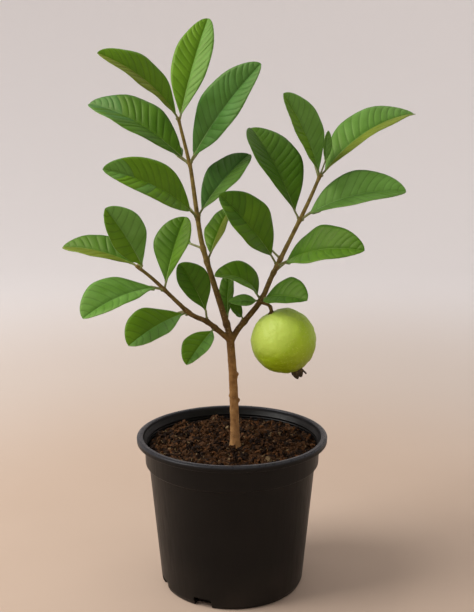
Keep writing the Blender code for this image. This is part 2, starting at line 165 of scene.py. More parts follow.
bowl = bmesh.new()
rise = [pi / 2 * step / RISE_STEPS for step in range(RISE_STEPS + 1)]
curve = [(FLOOR_FLAT + BOWL_RISE * sin(a), BOWL_RISE * (1 - cos(a))) for a in rise]
turn_profile(bowl, [(0, 0), *curve, (FLOOR_FLAT + BOWL_RISE, BOWL_TOP)], BOWL_STEPS)
bmesh.ops.recalc_face_normals(bowl, faces=bowl.faces)
bmesh.ops.reverse_faces(bowl, faces=bowl.faces)
floor_material, tree, shader = new_material("studio_floor", roughness=FLOOR_ROUGHNESS)
place = add(tree, "TexCoord").outputs["Object"]
distance = add(tree, "VectorMath", {0: place}, operation="LENGTH").outputs["Value"]
grit = add(tree, "TexNoise", {"Vector": place, "Scale": GRIT_SCALE, "Detail": 6.0}).outputs["Fac"]
shade = add(tree, "MapRange", {"Value": grit, "To Min": 0.0, "To Max": GRIT_MOST}).outputs[0]
colour = mixed(tree, shade, SAND, SAND_GRIT)
for paler, start, end in FADES:
    fade = add(tree, "MapRange", {"Value": distance, "From Min": start, "From Max": end})
    fade.interpolation_type = "SMOOTHSTEP"
    colour = mixed(tree, fade.outputs[0], colour, paler)
tree.links.new(colour, shader.inputs["Base Color"])
floor = new_object("studio_floor", bowl, [floor_material])
floor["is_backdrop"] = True
print("floor faces:", len(floor.data.polygons))

# %% [markdown]
# ## Light
#
# The main light is a large soft lamp high on the left, as in a bright room with one window side. A
# weak one hangs above and behind, and an even pale world opens the shadows. Area lamps give the
# broad, soft highlights that show a leaf's swollen panels; a sun lamp would draw hard edges. Four
# more lamps hang between the plant and the bowl's rim and face outward, so they light the rim
# alone. The one nearest to the main lamp is the weakest, since that side is bright already.

# %% Light
# Each lamp's name, place, the point that it faces, size, power and colour.
LAMPS = (
    ("key", (-1.50, -0.30, 1.78), (0, 0, 0.25), 1.3, 50, (1.0, 0.98, 0.95)),
    ("top", (0.3, 0.9, 2.0), (0, 0, 0.2), 1.4, 4, (1.0, 0.98, 0.96)),
)
# Each rim lamp's bearing and power; all hang alike and face the rim beyond them.
RIM_LAMPS = ((45, 11), (135, 10.5), (225, 3), (315, 11))
RIM_LAMP_SIZE = 1.2
RIM_LAMP_REACH = 1.3
RIM_LAMP_HEIGHT = 2.4
RIM_AIM_REACH = 3.1
RIM_AIM_HEIGHT = 1.0
ROOM_COLOUR = (0.93, 0.90, 0.88, 1)
ROOM_LIGHT = 0.34


def area_lamp(name, place, aim, size, power, colour):
    """A square area lamp at a place, turned to face a point."""
    data = bpy.data.lights.new(name, "AREA")
    data.size = size
    data.energy = power
    data.color = colour
    lamp = bpy.data.objects.new(name, data)
    lamp.location = place
    lamp.rotation_euler = (Vector(aim) - Vector(place)).to_track_quat("-Z", "Y").to_euler()
    bpy.context.scene.collection.objects.link(lamp)


for lamp in LAMPS:
    area_lamp(*lamp)
for bearing, power in RIM_LAMPS:
    outward = Vector((sin(radians(bearing)), cos(radians(bearing)), 0))
    hung = outward * RIM_LAMP_REACH + Vector((0, 0, RIM_LAMP_HEIGHT))
    aim = outward * RIM_AIM_REACH + Vector((0, 0, RIM_AIM_HEIGHT))
    area_lamp("rim", hung, aim, RIM_LAMP_SIZE, power, (1, 1, 1))
world = bpy.data.worlds.new("pale_room")
world.use_nodes = True
background = world.node_tree.nodes["Background"]
background.inputs["Color"].default_value = ROOM_COLOUR
background.inputs["Strength"].default_value = ROOM_LIGHT
scene = bpy.context.scene
scene.world = world
scene.view_settings.view_transform = "Standard"
print("lamps:", [lamp.name for lamp in bpy.data.lights])

# %% [markdown]
# ## Camera
#
# The camera stands nearly a metre away, a little above the middle of the plant, and looks down by
# eleven degrees. Its lens follows from its focal length in pixels and the frame's height in the
# same pixels, which together say how wide it sees.

# %% Camera
CAMERA_PLACE = (0.0052, -0.95, 0.488)
CAMERA_LOOKS_DOWN = 11.29
SENSOR = 36.0
FRAME_HEIGHT = 612
FOCAL_PIXELS = 945

lens = bpy.data.cameras.new("camera")
lens.sensor_width = SENSOR
lens.lens = FOCAL_PIXELS / FRAME_HEIGHT * SENSOR
camera = bpy.data.objects.new("camera", lens)
camera.location = CAMERA_PLACE
camera.rotation_euler = (radians(90 - CAMERA_LOOKS_DOWN), 0, 0)
scene.collection.objects.link(camera)
scene.camera = camera
print("lens in mm:", round(lens.lens, 1))

# %% [markdown]
# ## The growth rule
#
# A guava's leaves stand in opposite pairs along each shoot. The model grew from a small table:
# three shoots, each a smooth curve with a radius at either end, and the leaves on them, each with
# its place along the shoot, the way it points, its size and how its blade rolls and droops. The
# same rule is written again here, in millimetres, so every finer leaf lands on the coarse one that
# it replaces. One column is new: the coat of greens that the leaf is dealt.

# %% The growth rule
Shoot = namedtuple("Shoot", "way foot_radius tip_radius bough_length")
SHOOTS = {
    "leader": Shoot(
        (
            (-1.5, 0, 258), (-2.7, 0, 269.5), (-16, 5, 312.5), (-29.5, 11, 356), (-35, 14, 387),
            (-40.6, 16, 429), (-43.2, 15, 444), (-51.6, 10, 480), (-53.4, 9, 488),
        ),
        3.6, 1.5, 128,
    ),
    "left": Shoot(
        (
            (-1.5, 0, 262), (-14.8, -7, 275), (-26, -15, 285.7), (-41, -25, 295),
            (-58.5, -35, 314), (-77, -41, 333.6), (-92.6, -44, 347),
        ),
        3.1, 1.5, 91,
    ),
    "right": Shoot(
        (
            (-0.5, 0, 262), (5, 3.5, 271.5), (12.4, 7, 280.2), (30.2, 14, 301.6),
            (40.4, 20, 323.7), (57.8, 29, 357.5), (79, 37, 400), (92.1, 40, 430),
        ),
        3.3, 1.7, 138,
    ),
}
WAY_STEPS = 3
GAP = 0.35
STALK_RADIUS = 1.1
STALK_RADIUS_SMALL = 0.8
SMALL_LEAF = 40
SHORTEST_STALK = 1.2

Leaf = namedtuple(
    "Leaf", "node coat along stalk stalk_bearing bearing toward length width roll droop belly"
)
LEAVES = {
    "leader": (
        Leaf("top_foliage", "fresh/pale", 235, 5, 22, 15, -25, 112, 45, -20, 20, 0.52),
        Leaf("top_foliage", "olive/fresh", 235, 6, -27, -51, 25, 100, 46, 57, 45, 0.50),
        Leaf("top_foliage", "cool_tip_sheen", 190, 10, -51, -61, -15, 115, 57, 50, 45, 0.50),
        Leaf("top_foliage", "cool", 190, 9, 27, 37, 20, 118, 53, -35, 25, 0.54),
        Leaf("top_foliage", "pale_tip_sheen", 135, 12, -42, -61, 30, 106, 54, 50, 45, 0.48),
        Leaf("top_foliage", "cool/pale", 135, 10, 29, 42, -35, 90, 42, -38, 30, 0.52),
        Leaf("top_foliage", "deep", 190, 16, -62, -62, -50, 78, 36, 90, 20, 0.50),
        Leaf("top_foliage", "deep", 190, 16, 37, 37, -50, 80, 42, -90, 20, 0.50),
        Leaf("top_foliage", "summer", 135, 16, -45, -45, -50, 84, 38, -90, 20, 0.50),
        Leaf("leader_leaf_low", "deep", 22, 4, 8, 3, -35, 53, 20, -30, 20, 0.50),
        Leaf("leader_leaf_middle", "summer/olive", 89, 10.5, 25, 25, -40, 66, 32, -50, 20, 0.50),
        Leaf("leader_leaf_back", "deep", 103, 17, -75, -74, -38, 44, 28, 30, 20, 0.50),
    ),
    "left": (
        Leaf("left_foliage", "olive/deep", 132, 4.5, -57, -79, -15, 76, 40, 62, 35, 0.50),
        Leaf("left_foliage", "fresh/silver", 129, 4, 38, -28, 20, 70, 46, 40, 25, 0.57),
        Leaf("left_foliage", "pale", 97, 10.5, -71, -107, 38, 84, 56, 62, 40, 0.58),
        Leaf("left_foliage", "deep/summer", 97, 6, 13, 16, -25, 72, 46, -35, 22, 0.60),
        Leaf("left_foliage", "deep", 129, 12, -30, -30, -60, 78, 40, -60, 20, 0.52),
        Leaf("left_foliage", "deep", 97, 16, -90, -90, -50, 76, 38, -90, 20, 0.52),
        Leaf("left_leaf_low", "silver/fresh", 24, 4.5, -134, -137, 45, 51, 34, 45, 20, 0.52),
        Leaf("left_leaf_upper", "deep", 36, 11, -6, -29, -8, 55, 40, 38, 22, 0.58),
        Leaf("left_leaf_middle", "silver/fresh", 60, 5, -89, -114, 38, 70, 50, 52, 35, 0.60),
        Leaf("left_leaf_back", "deep", 64, 16, -118, -122, -52, 64, 36, -90, 20, 0.55),
    ),
    "right": (
        Leaf("right_foliage", "deep", 145, 11, -28, -28, -30, 112, 66, 43, 25, 0.55),
        Leaf("right_foliage", "silver/pale", 145, 12.5, 55, 76, 8, 101, 63, -60, 44, 0.50),
        Leaf("right_foliage", "fresh/silver", 195, 5.5, -16, -26, 18, 92, 48, 47, 25, 0.53),
        Leaf("right_foliage", "pale/olive", 195, 7.5, 47, 59, -18, 120, 62, -62, 52, 0.52),
        Leaf("right_foliage", "pale/silver", 195, 17, 20, 5, -5, 31, 14, 40, -15, 0.50),
        Leaf("right_foliage", "deep", 145, 22, 62, 62, -50, 78, 36, 90, 20, 0.50),
        Leaf("right_foliage", "deep", 193, 16, -14, -14, -50, 78, 40, 90, 20, 0.52),
        Leaf("right_leaf_low", "deep", 23.5, 6.5, -20, -43, 20, 20, 16, 50, 30, 0.50),
        Leaf("right_leaf_inner", "silver", 52, 6, -85, -84, 35, 35, 14, 30, 20, 0.50),
        Leaf("right_leaf_arched", "summer", 52, 7, -32, -64, 10, 50, 44, 65, 95, 0.45),
        Leaf("right_leaf_outer", "deep", 54, 4, 63, 84, 42, 55, 47, -64, 35, 0.49),
        Leaf("right_leaf_tall", "dulling", 92, 12.5, -29, -40, 10, 85, 60, 46, 25, 0.52),
        Leaf("right_leaf_wide", "deep/summer", 92, 14, 57, 75, 38, 95, 56, -58, 45, 0.50),
        Leaf("right_leaf_back", "deep", 100, 16, -50, -50, -50, 78, 36, -90, 20, 0.52),
        Leaf("right_leaf_rear", "summer", 84, 22, 60, 60, -50, 74, 36, 90, 20, 0.52),
    ),
}

for name, leaves in LEAVES.items():
    print(f"{name}: {len(leaves)} leaves")

# %% [markdown]
# ## Along a shoot
#
# Five small functions turn the table into places. A shoot's few points become a smooth curve, and
# a distance along that curve gives a point and a direction, which is where a leaf stands. A
# heading turns a bearing, as a clock's hand shows it from the front, and a lean towards the front
# into a direction.

# %% Along a shoot
def heading(bearing, toward):
    """The unit vector with this bearing that leans out to the front by this angle."""
    return Vector((
        cos(radians(toward)) * sin(radians(bearing)),
        -sin(radians(toward)),
        cos(radians(toward)) * cos(radians(bearing)),
    ))


def smooth_way(points, steps):
    """Points on a smooth curve through these ones, with this many steps between each two."""
    points = [Vector(point) for point in points]
    ends = [2 * points[0] - points[1], *points, 2 * points[-1] - points[-2]]
    way = []
    for before, start, end, after in zip(ends, ends[1:], ends[2:], ends[3:]):
        for step in range(steps):
            t = step / steps
            way.append(
                start
                + (end - before) * t / 2
                + (2 * before - 5 * start + 4 * end - after) * t**2 / 2
                + (3 * start - before - 3 * end + after) * t**3 / 2
            )
    return [*way, points[-1]]


def along_way(way, distance):
    """The point this far along the way, with the way's direction there."""
    for start, end in zip(way, way[1:]):
        length = (end - start).length
        if distance <= length or end is way[-1]:
            break
        distance -= length
    direction = (end - start).normalized()
    return start + direction * min(distance, length), direction


def way_length(way):
    """How long the way is."""
    return sum((end - start).length for start, end in zip(way, way[1:]))


def shoot_radius(shoot, along):
    """The shoot's radius this far along it, without the swelling at its nodes."""
    whole = way_length(smooth_way(shoot.way, WAY_STEPS))
    return shoot.foot_radius + (shoot.tip_radius - shoot.foot_radius) * along / whole


for name, shoot in SHOOTS.items():
    print(f"{name}: {way_length(smooth_way(shoot.way, WAY_STEPS)):.0f} mm long")

# %% [markdown]
# ## Patterns that several finishes share
#
# Real surfaces are never one even colour. Three small node groups give every finish its uneven
# parts: "mottle" blends two colours in soft clouds, "net" is a fine raised mesh like the smallest
# veins of a leaf or the cells of fruit skin, and "streaks" are fine ridges drawn out along Z, as
# on bark or drawn plastic. Each puts out only a colour or a height, and each material places it
# with its own values. They read Object coordinates, so a pattern stays on its piece.

# %% Shared patterns
COLOUR = "NodeSocketColor"
NUMBER = "NodeSocketFloat"


def shader_group(name, inputs, outputs):
    """An empty node group with these sockets, and its end nodes."""
    group = bpy.data.node_groups.new(name, "ShaderNodeTree")
    for title, kind, value in inputs:
        group.interface.new_socket(title, in_out="INPUT", socket_type=kind).default_value = value
    for title, kind in outputs:
        group.interface.new_socket(title, in_out="OUTPUT", socket_type=kind)
    return group, group.nodes.new("NodeGroupInput").outputs, group.nodes.new("NodeGroupOutput").inputs


mottle, given, result = shader_group(
    "mottle",
    (("Dark", COLOUR, (0, 0, 0, 1)), ("Light", COLOUR, (1, 1, 1, 1)), ("Scale", NUMBER, 60),
     ("Spread", NUMBER, 0.2)),
    (("Colour", COLOUR), ("Mask", NUMBER)),
)
place = add(mottle, "TexCoord").outputs["Object"]
clouds = add(mottle, "TexNoise", {"Vector": place, "Scale": given["Scale"], "Detail": 4.0})
low = add(mottle, "Math", {0: 0.5, 1: given["Spread"]}, operation="SUBTRACT").outputs[0]
high = add(mottle, "Math", {0: 0.5, 1: given["Spread"]}, operation="ADD").outputs[0]
mask = add(mottle, "MapRange", {"Value": clouds.outputs["Fac"], "From Min": low, "From Max": high})
mottle.links.new(mask.outputs[0], result["Mask"])
mottle.links.new(mixed(mottle, mask.outputs[0], given["Dark"], given["Light"]), result["Colour"])

net, given, result = shader_group(
    "net", (("Scale", NUMBER, 600), ("Width", NUMBER, 0.12)), (("Height", NUMBER),)
)
place = add(net, "TexCoord").outputs["Object"]
cells = add(net, "TexVoronoi", {"Vector": place, "Scale": given["Scale"]}, feature="DISTANCE_TO_EDGE")
swell = add(net, "MapRange", {"Value": cells.outputs["Distance"], "From Max": given["Width"]})
net.links.new(swell.outputs[0], result["Height"])

streaks, given, result = shader_group(
    "streaks", (("Scale", NUMBER, 500), ("Stretch", NUMBER, 0.15)), (("Height", NUMBER),)
)
place = add(streaks, "TexCoord").outputs["Object"]
drawn = add(streaks, "CombineXYZ", {"X": 1.0, "Y": 1.0, "Z": given["Stretch"]}).outputs[0]
place = add(streaks, "VectorMath", {0: place, 1: drawn}, operation="MULTIPLY").outputs[0]
lines = add(streaks, "TexNoise", {"Vector": place, "Scale": given["Scale"], "Detail": 3.0})
streaks.links.new(lines.outputs["Fac"], result["Height"])


def place_group(tree, group, **values):
    """Places a node group in a material; a socket's name is given in lower case."""
    node = tree.nodes.new("ShaderNodeGroup")
    node.node_tree = group
    for title, value in values.items():
        node.inputs[title.capitalize()].default_value = value
    return node.outputs


def clouded(tree, tones, scale, spread=0.2):
    """The outputs of a mottle of a dark and a light tone."""
    dark, light = tones
    return place_group(tree, mottle, dark=(*dark, 1), light=(*light, 1), scale=scale, spread=spread)


def set_bump(tree, shader, height, distance, strength=1.0):
    """Feeds a height to the shader's normal through a Bump node."""
    bump = add(tree, "Bump", {"Height": height, "Distance": distance, "Strength": strength})
    tree.links.new(bump.outputs["Normal"], shader.inputs["Normal"])


print("groups:", [group.name for group in bpy.data.node_groups])

# %% [markdown]
# ## Greens
#
# Guava leaves are a dull, slightly leathery green above, with a paler midrib, and pale and matte
# below. A young leaf is yellower and an old one darker. Many leaves are painted paler and cooler
# towards the tip, a painted sheen, and a few turn darker there; one half is often painted lighter,
# bluer or more olive than the other, painted light and shade for the way light falls on each half.
# So there are a few tints, and a coat lists the tints that a leaf takes from its foot to its tip;
# they are dealt out panel by panel as plain base colours. A side vein lies in a groove and is
# painted a shade darker than its panels, painted shade in the groove. Within a tint the mottle adds
# a soft unevenness, and the net a fine relief that breaks up the highlights. Roughness follows the
# mottle a little, since a dusty patch shines less.

# %% Leaf materials
# Each tint's panels, dark and light, and its midrib.
TINTS = {
    "fresh": ((0.080, 0.195, 0.002), (0.118, 0.255, 0.006), (0.145, 0.280, 0.020)),
    # Paler and bluer; at a tip or on one half it is painted sheen.
    "pale": ((0.078, 0.198, 0.016), (0.116, 0.258, 0.042), (0.140, 0.275, 0.062)),
    "summer": ((0.055, 0.150, 0.001), (0.088, 0.200, 0.004), (0.115, 0.222, 0.013)),
    "cool": ((0.037, 0.128, 0.012), (0.062, 0.175, 0.034), (0.085, 0.195, 0.050)),
    "deep": ((0.036, 0.115, 0.001), (0.058, 0.155, 0.003), (0.078, 0.175, 0.008)),
    # Lighter and bluer still: painted sheen on the halves and tips that take it.
    "silver": ((0.100, 0.250, 0.030), (0.145, 0.320, 0.060), (0.165, 0.335, 0.085)),
    "olive": ((0.120, 0.165, 0.004), (0.175, 0.225, 0.012), (0.185, 0.235, 0.030)),
}
# The tints that each coat takes from the leaf's foot to its tip; a paler or cooler tint at the tip
# is painted sheen. Where a leaf names two coats, its left half takes the first and its right half
# the second, and so the two halves are painted lighter and darker, painted light and shade.
COATS = {
    "pale_tip_sheen": ("fresh", "fresh", "pale"),
    "cool_tip_sheen": ("deep", "deep", "cool"),
    "dulling": ("summer", "summer", "deep"),
    **{tint: (tint,) for tint in TINTS},
}
# A tint's materials are its panels, its side veins and its midrib.
KINDS = 3
# Side veins are painted darker by this share: painted shade in their grooves.
GROOVE_PAINTED_SHADE = 0.80
UNDERSIDE = ((0.17, 0.28, 0.09), (0.22, 0.34, 0.12))
UNDER_VEIN = ((0.27, 0.38, 0.16), (0.32, 0.43, 0.20))
LEAF_CLOUDS = 55
LEAF_GLOSS = 0.42
LEAF_ROUGHNESS = 0.53
VEIN_ROUGHNESS = 0.50
UNDERSIDE_ROUGHNESS = 0.62
UNDER_VEIN_ROUGHNESS = 0.60
ROUGHNESS_DRIFT = (-0.05, 0.07)
CUTICLE = (0.95, 1.0, 0.45, 1)
VEIN_NET = 560
VEIN_NET_WIDTH = 0.14
VEIN_NET_STRENGTH = 0.5
VEIN_NET_DEPTH = 0.10 * MM
SMOOTH_NET_DEPTH = VEIN_NET_DEPTH / 3


def leaf_material(name, tones, roughness, relief):
    """A green that drifts between two tones, with the finest veins as a raised net."""
    material, tree, shader = new_material(name, roughness, LEAF_GLOSS)
    clouds = clouded(tree, tones, LEAF_CLOUDS)
    tree.links.new(clouds["Colour"], shader.inputs["Base Color"])
    shader.inputs["Specular Tint"].default_value = CUTICLE
    least, most = [roughness + drift for drift in ROUGHNESS_DRIFT]
    uneven = add(tree, "MapRange", {"Value": clouds["Mask"], "To Min": least, "To Max": most})
    tree.links.new(uneven.outputs[0], shader.inputs["Roughness"])
    cells = place_group(tree, net, scale=VEIN_NET, width=VEIN_NET_WIDTH)
    set_bump(tree, shader, cells["Height"], relief, VEIN_NET_STRENGTH)
    return material


leaf_materials = []
for tint, (dark, light, rib) in TINTS.items():
    # The vein tones are darker copies of the panels: painted shade in the grooves.
    painted_groove_tones = [tuple(GROOVE_PAINTED_SHADE * part for part in colour) for colour in (dark, light)]
    middle = tuple((part + other) / 2 for part, other in zip(light, rib))
    leaf_materials += [
        leaf_material(f"leaf_{tint}", (dark, light), LEAF_ROUGHNESS, VEIN_NET_DEPTH),
        leaf_material(f"vein_{tint}", painted_groove_tones, VEIN_ROUGHNESS, SMOOTH_NET_DEPTH),
        leaf_material(f"midrib_{tint}", (middle, rib), VEIN_ROUGHNESS, SMOOTH_NET_DEPTH),
    ]
first_slot = {tint: KINDS * index for index, tint in enumerate(TINTS)}
under_slot = len(leaf_materials)
leaf_materials += [
    leaf_material("leaf_underside", UNDERSIDE, UNDERSIDE_ROUGHNESS, VEIN_NET_DEPTH),
    leaf_material("underside_vein", UNDER_VEIN, UNDER_VEIN_ROUGHNESS, SMOOTH_NET_DEPTH),
]
print("leaf materials:", len(leaf_materials))

# %% [markdown]
# ## The blade's surface
#
# A guava leaf is a long oval, folded up a little along its midrib and arched from base to tip. Its
# twelve or so pairs of side veins are sunk into the upper face, and the blade swells between
# them like quilting; below, the same veins stand out as ribs. This quilting is what the eye reads
# as "guava leaf", so it is real geometry and not only bump.
#
# A blade is described as a surface first: a rule that gives the place of any row and column. Its
# rows lie along the veins: each row leaves the midrib and sweeps towards the tip as it nears the
# margin, and a little noise keeps the veins from being evenly spaced and the panels from swelling
# alike. A slow wave lifts and lowers the margin, and each blade is twisted a little by chance.

# %% The blade's surface
BLADE_FOLD = 26.0
BLADE_EDGE_CURL = 0.12
BLADE_FOOT_WIDTH = 2.0
BLADE_TIP_WIDTH = 0.5
BLADE_TWIST = 7.0
FOOT_POINTEDNESS = 0.95
TIP_POINTEDNESS = 0.60
HALF_COLUMNS = 8
VEIN_SPACING = 8.3
FEWEST_VEINS = 6
# The rows of one vein, as shares of its spacing. The first and last are close to the vein.
VEIN_ROWS = (0.0, 0.075, 0.28, 0.5, 0.72, 0.925)
VEIN_DEPTH = 0.12
VEIN_SWEEP = 0.19
VEIN_SWEEP_CURVE = 1.2
VEIN_WANDER = 0.36
MIDRIB_HALF_WIDTH = 0.55
MIDRIB_DEPTH = 0.35
MIDRIB_FULL_WIDTH = 6
# The midrib's width at its foot, as a share of the plain one, and how much of it is gone at the tip.
MIDRIB_FOOT = 1.2
MIDRIB_THINS = 0.8
PANEL_SWELL = 0.078
PANEL_ROUNDNESS = 0.75
SWELL_VARIES = 0.55
SWELL_FULL_FROM = 0.2
SWELL_ENDS = 0.4
# How far each vein steps through the noise, and how far apart the two halves read it.
SWELL_STEP = 0.7
SWELL_APART = 3.0
WANDER_STEP = 0.6
WANDER_APART = 2.0
WANDER_LAYER = 9.5
MARGIN_FROM = 0.7
MARGIN_WIDTH = 0.3
MARGIN_CALM = 0.75
MARGIN_WAVE = 0.9
WAVE_FULL_WIDTH = 45
WAVE_COUNTS = (2.0, 3.2)
WAVE_SIZES = (0.5, 1.2)


def outline(u, belly):
    """Half the blade's width at u along it, as a share of its greatest."""
    swell = u ** (log(0.5) / log(belly))
    return max(0.0, sin(pi * swell)) ** (FOOT_POINTEDNESS * (1 - u) + TIP_POINTEDNESS * u)


class Blade:
    """The curved surface of one leaf: an arched midrib, both halves folded up, veins and swells."""

    def __init__(self, leaf, foot, chance):
        self.leaf = leaf
        self.foot = foot
        self.chord = heading(leaf.bearing, leaf.toward)
        front = Vector((0, -1, 0))
        face = (front - self.chord * front.dot(self.chord)).normalized()
        self.face = Quaternion(self.chord, radians(leaf.roll)) @ face
        self.arch_radius = leaf.length / (2 * sin(radians(leaf.droop) / 2))
        self.veins = max(FEWEST_VEINS, round(leaf.length / VEIN_SPACING))
        self.place = self.foot.x + self.foot.z
        self.twist = radians(chance.uniform(-BLADE_TWIST, BLADE_TWIST))
        self.wave_start = [chance.uniform(0, 2 * pi) for half in range(2)]
        self.wave_count = chance.uniform(*WAVE_COUNTS)
        self.wave = MARGIN_WAVE * min(1.0, leaf.width / WAVE_FULL_WIDTH) * chance.uniform(*WAVE_SIZES)

    def midrib(self, u):
        """The midrib's point at u, with the directions of the face and of the side there."""
        half = radians(self.leaf.droop) / 2
        angle = radians(self.leaf.droop) * (u - 0.5)
        forward = self.arch_radius * (sin(angle) + sin(half))
        rise = self.arch_radius * (cos(angle) - cos(half))
        turned = Quaternion(self.chord, self.twist * (u - 0.5)) @ self.face
        face = turned * cos(angle) + self.chord * sin(angle)
        ahead = self.chord * cos(angle) - turned * sin(angle)
        return self.foot + self.chord * forward + self.face * rise, face, ahead.cross(face)

    def relief(self, row, across):
        """How far the surface swells or sinks at this share of a vein's spacing."""
        panel, part = divmod(row, 1.0)
        spot = (panel * SWELL_STEP, SWELL_APART * (across > 0), self.place)
        swell = sin(pi * part) ** PANEL_ROUNDNESS * PANEL_SWELL * self.leaf.length / self.veins
        swell *= 1 + SWELL_VARIES * noise.noise(spot)
        from_midrib = min(1.0, abs(across) / SWELL_FULL_FROM)
        near_margin = max(0.0, (abs(across) - MARGIN_FROM) / MARGIN_WIDTH)
        along = sin(pi * min(1.0, max(0.0, row / self.veins))) ** SWELL_ENDS
        height = swell * from_midrib * (1 - MARGIN_CALM * near_margin**2) * along
        sunk = max(0.0, 1 - min(part, 1 - part) / VEIN_ROWS[1])
        return height - VEIN_DEPTH * sunk * from_midrib * (1 - near_margin)

    def point(self, row, column):
        """The surface at this row, counted in veins, and column, from -HALF_COLUMNS up."""
        s = row / self.veins
        share = abs(column) / HALF_COLUMNS
        apart = column / HALF_COLUMNS + WANDER_APART * (column > 0)
        spot = (row * WANDER_STEP, apart, self.place + WANDER_LAYER)
        s += VEIN_WANDER / self.veins * noise.noise(spot) * sin(pi * s) ** 0.5 if 0 < s < 1 else 0
        u = s + VEIN_SWEEP * 4 * s * (1 - s) * share**VEIN_SWEEP_CURVE
        middle, face, side = self.midrib(u)
        narrowest = BLADE_FOOT_WIDTH * (1 - u) + BLADE_TIP_WIDTH * u
        half_width = max(self.leaf.width * outline(u, self.leaf.belly), narrowest) / 2
        rib = MIDRIB_HALF_WIDTH * (MIDRIB_FOOT - MIDRIB_THINS * u)
        narrow = min(rib, half_width / 2) / half_width
        if share:
            share = narrow + (1 - narrow) * (abs(column) - 1) / (HALF_COLUMNS - 1)
        across = share if column > 0 else -share
        fold = radians(BLADE_FOLD)
        rise = half_width * (share * sin(fold) - BLADE_EDGE_CURL * share**2)
        rise += self.relief(row, across)
        wave = sin(2 * pi * self.wave_count * u + self.wave_start[column > 0])
        rise += self.wave * wave * share**3 * sin(pi * u)
        if column == 0:
            rise -= MIDRIB_DEPTH * min(1.0, half_width / MIDRIB_FULL_WIDTH)
        return middle + side * across * half_width * cos(fold) + face * rise


print("columns across a blade:", 2 * HALF_COLUMNS, "rows to a vein:", len(VEIN_ROWS))

# %% [markdown]
# ## Dealing the tints
#
# Each panel between two veins takes one tint. Its share of the way from foot to tip picks the tint
# from the leaf's coat, and a little chance moves that share, so a change of tint has no straight
# edge. The two halves are dealt apart, because a leaf is folded along its midrib and its halves
# catch different light: one half is painted lighter than the other, as painted light and shade.

# %% Dealt tints
TINT_JITTER = 0.20


def dealt_tints(blade, chance):
    """The first material slot of each panel, by its number from the foot and its side."""
    names = blade.leaf.coat.split("/")
    dealt = {}
    for panel in range(blade.veins):
        for right in (False, True):
            # Each half takes its own coat, so one half is painted lighter: painted light and shade.
            coat = COATS[names[-1] if right else names[0]]
            share = (panel + 0.5) / blade.veins + chance.uniform(-TINT_JITTER, TINT_JITTER)
            step = min(len(coat) - 1, max(0, int(share * len(coat))))
            dealt[panel, right] = first_slot[coat[step]]
    return dealt


print("coats:", ", ".join(COATS))

# %% [markdown]
# ## From surface to mesh
#
# A flat grid is the simplest start, because it is already in rows and columns. It has six rows to
# a vein, two of them close together, so that the narrow faces between them are the vein itself and
# take the darker green, painted shade in its groove. Each point is then moved to its place on the
# surface. Solidify gives the blade its thickness, and the faces that it made are painted as the
# underside.

# %% The blade's mesh
BLADE_THICKNESS = 0.42


def make_blade(blade, chance):
    """A mesh of one leaf, its faces painted as panel, side vein or midrib, above and below."""
    shape = bmesh.new()
    rows = blade.veins * len(VEIN_ROWS)
    bmesh.ops.create_grid(shape, x_segments=2 * HALF_COLUMNS, y_segments=rows, size=1)
    grid = [(round((v.co.y + 1) / 2 * rows), round(v.co.x * HALF_COLUMNS)) for v in shape.verts]
    dealt = dealt_tints(blade, chance)
    for face in shape.faces:
        middle = face.calc_center_median()
        panel, row = divmod(round((middle.y + 1) / 2 * rows - 0.5), len(VEIN_ROWS))
        kind = 1 if row in (0, len(VEIN_ROWS) - 1) else 0
        if abs(middle.x) * HALF_COLUMNS < 1:
            kind = 2
        face.material_index = dealt[panel, middle.x > 0] + kind
    for vert, (row, column) in zip(shape.verts, grid):
        vein, step = divmod(row, len(VEIN_ROWS))
        vert.co = blade.point(vein + VEIN_ROWS[step], column) * MM
    upper = len(shape.faces)
    shape.normal_update()
    bmesh.ops.solidify(shape, geom=shape.faces[:], thickness=BLADE_THICKNESS * MM)
    shape.faces.ensure_lookup_table()
    for face in shape.faces[upper:]:
        face.material_index = under_slot + min(1, face.material_index % KINDS)
    mesh = bpy.data.meshes.new("blade")
    shape.to_mesh(mesh)
    shape.free()
    return mesh


longest = max(leaf.length for leaves in LEAVES.values() for leaf in leaves)
print("pairs of veins on the longest blade:", round(longest / VEIN_SPACING))

# %% [markdown]
# ## All the leaves
#
# Each shoot's leaves are joined into one object, because dozens of single leaves would be slow to
# handle and each kind of part should stay together. The single leaves low on a bough stand clear
# of its bark, so their stalks are a little longer than the table says. Two streams of chance are
# kept apart, one for shapes and one for tints, so that a change to one leaves the other as it is.

# %% Leaves
LEAF_SEED = 11
TINT_SEED = 4


def leaf_foot(leaf, shoot):
    """Where the leaf's stalk leaves its shoot, and where it meets the blade."""
    node, limb = along_way(smooth_way(shoot.way, WAY_STEPS), leaf.along)
    direction = heading(leaf.stalk_bearing, leaf.toward)
    reach = leaf.stalk
    if not leaf.node.endswith("foliage"):
        stalk_radius = STALK_RADIUS_SMALL if leaf.length < SMALL_LEAF else STALK_RADIUS
        lean = abs(direction.dot(limb))
        clear = (shoot_radius(shoot, leaf.along) + GAP + stalk_radius * lean) / (1 - lean**2) ** 0.5
        reach = max(reach, clear + SHORTEST_STALK)
    return node, node + direction * reach


def settle(piece, slot, *nodes):
    """Rides a piece on the body and hides the nodes that it replaces; its slot is not used."""
    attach(piece, "root")
    if nodes:
        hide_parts(*nodes)
    print(piece.name, "faces:", len(piece.data.polygons))


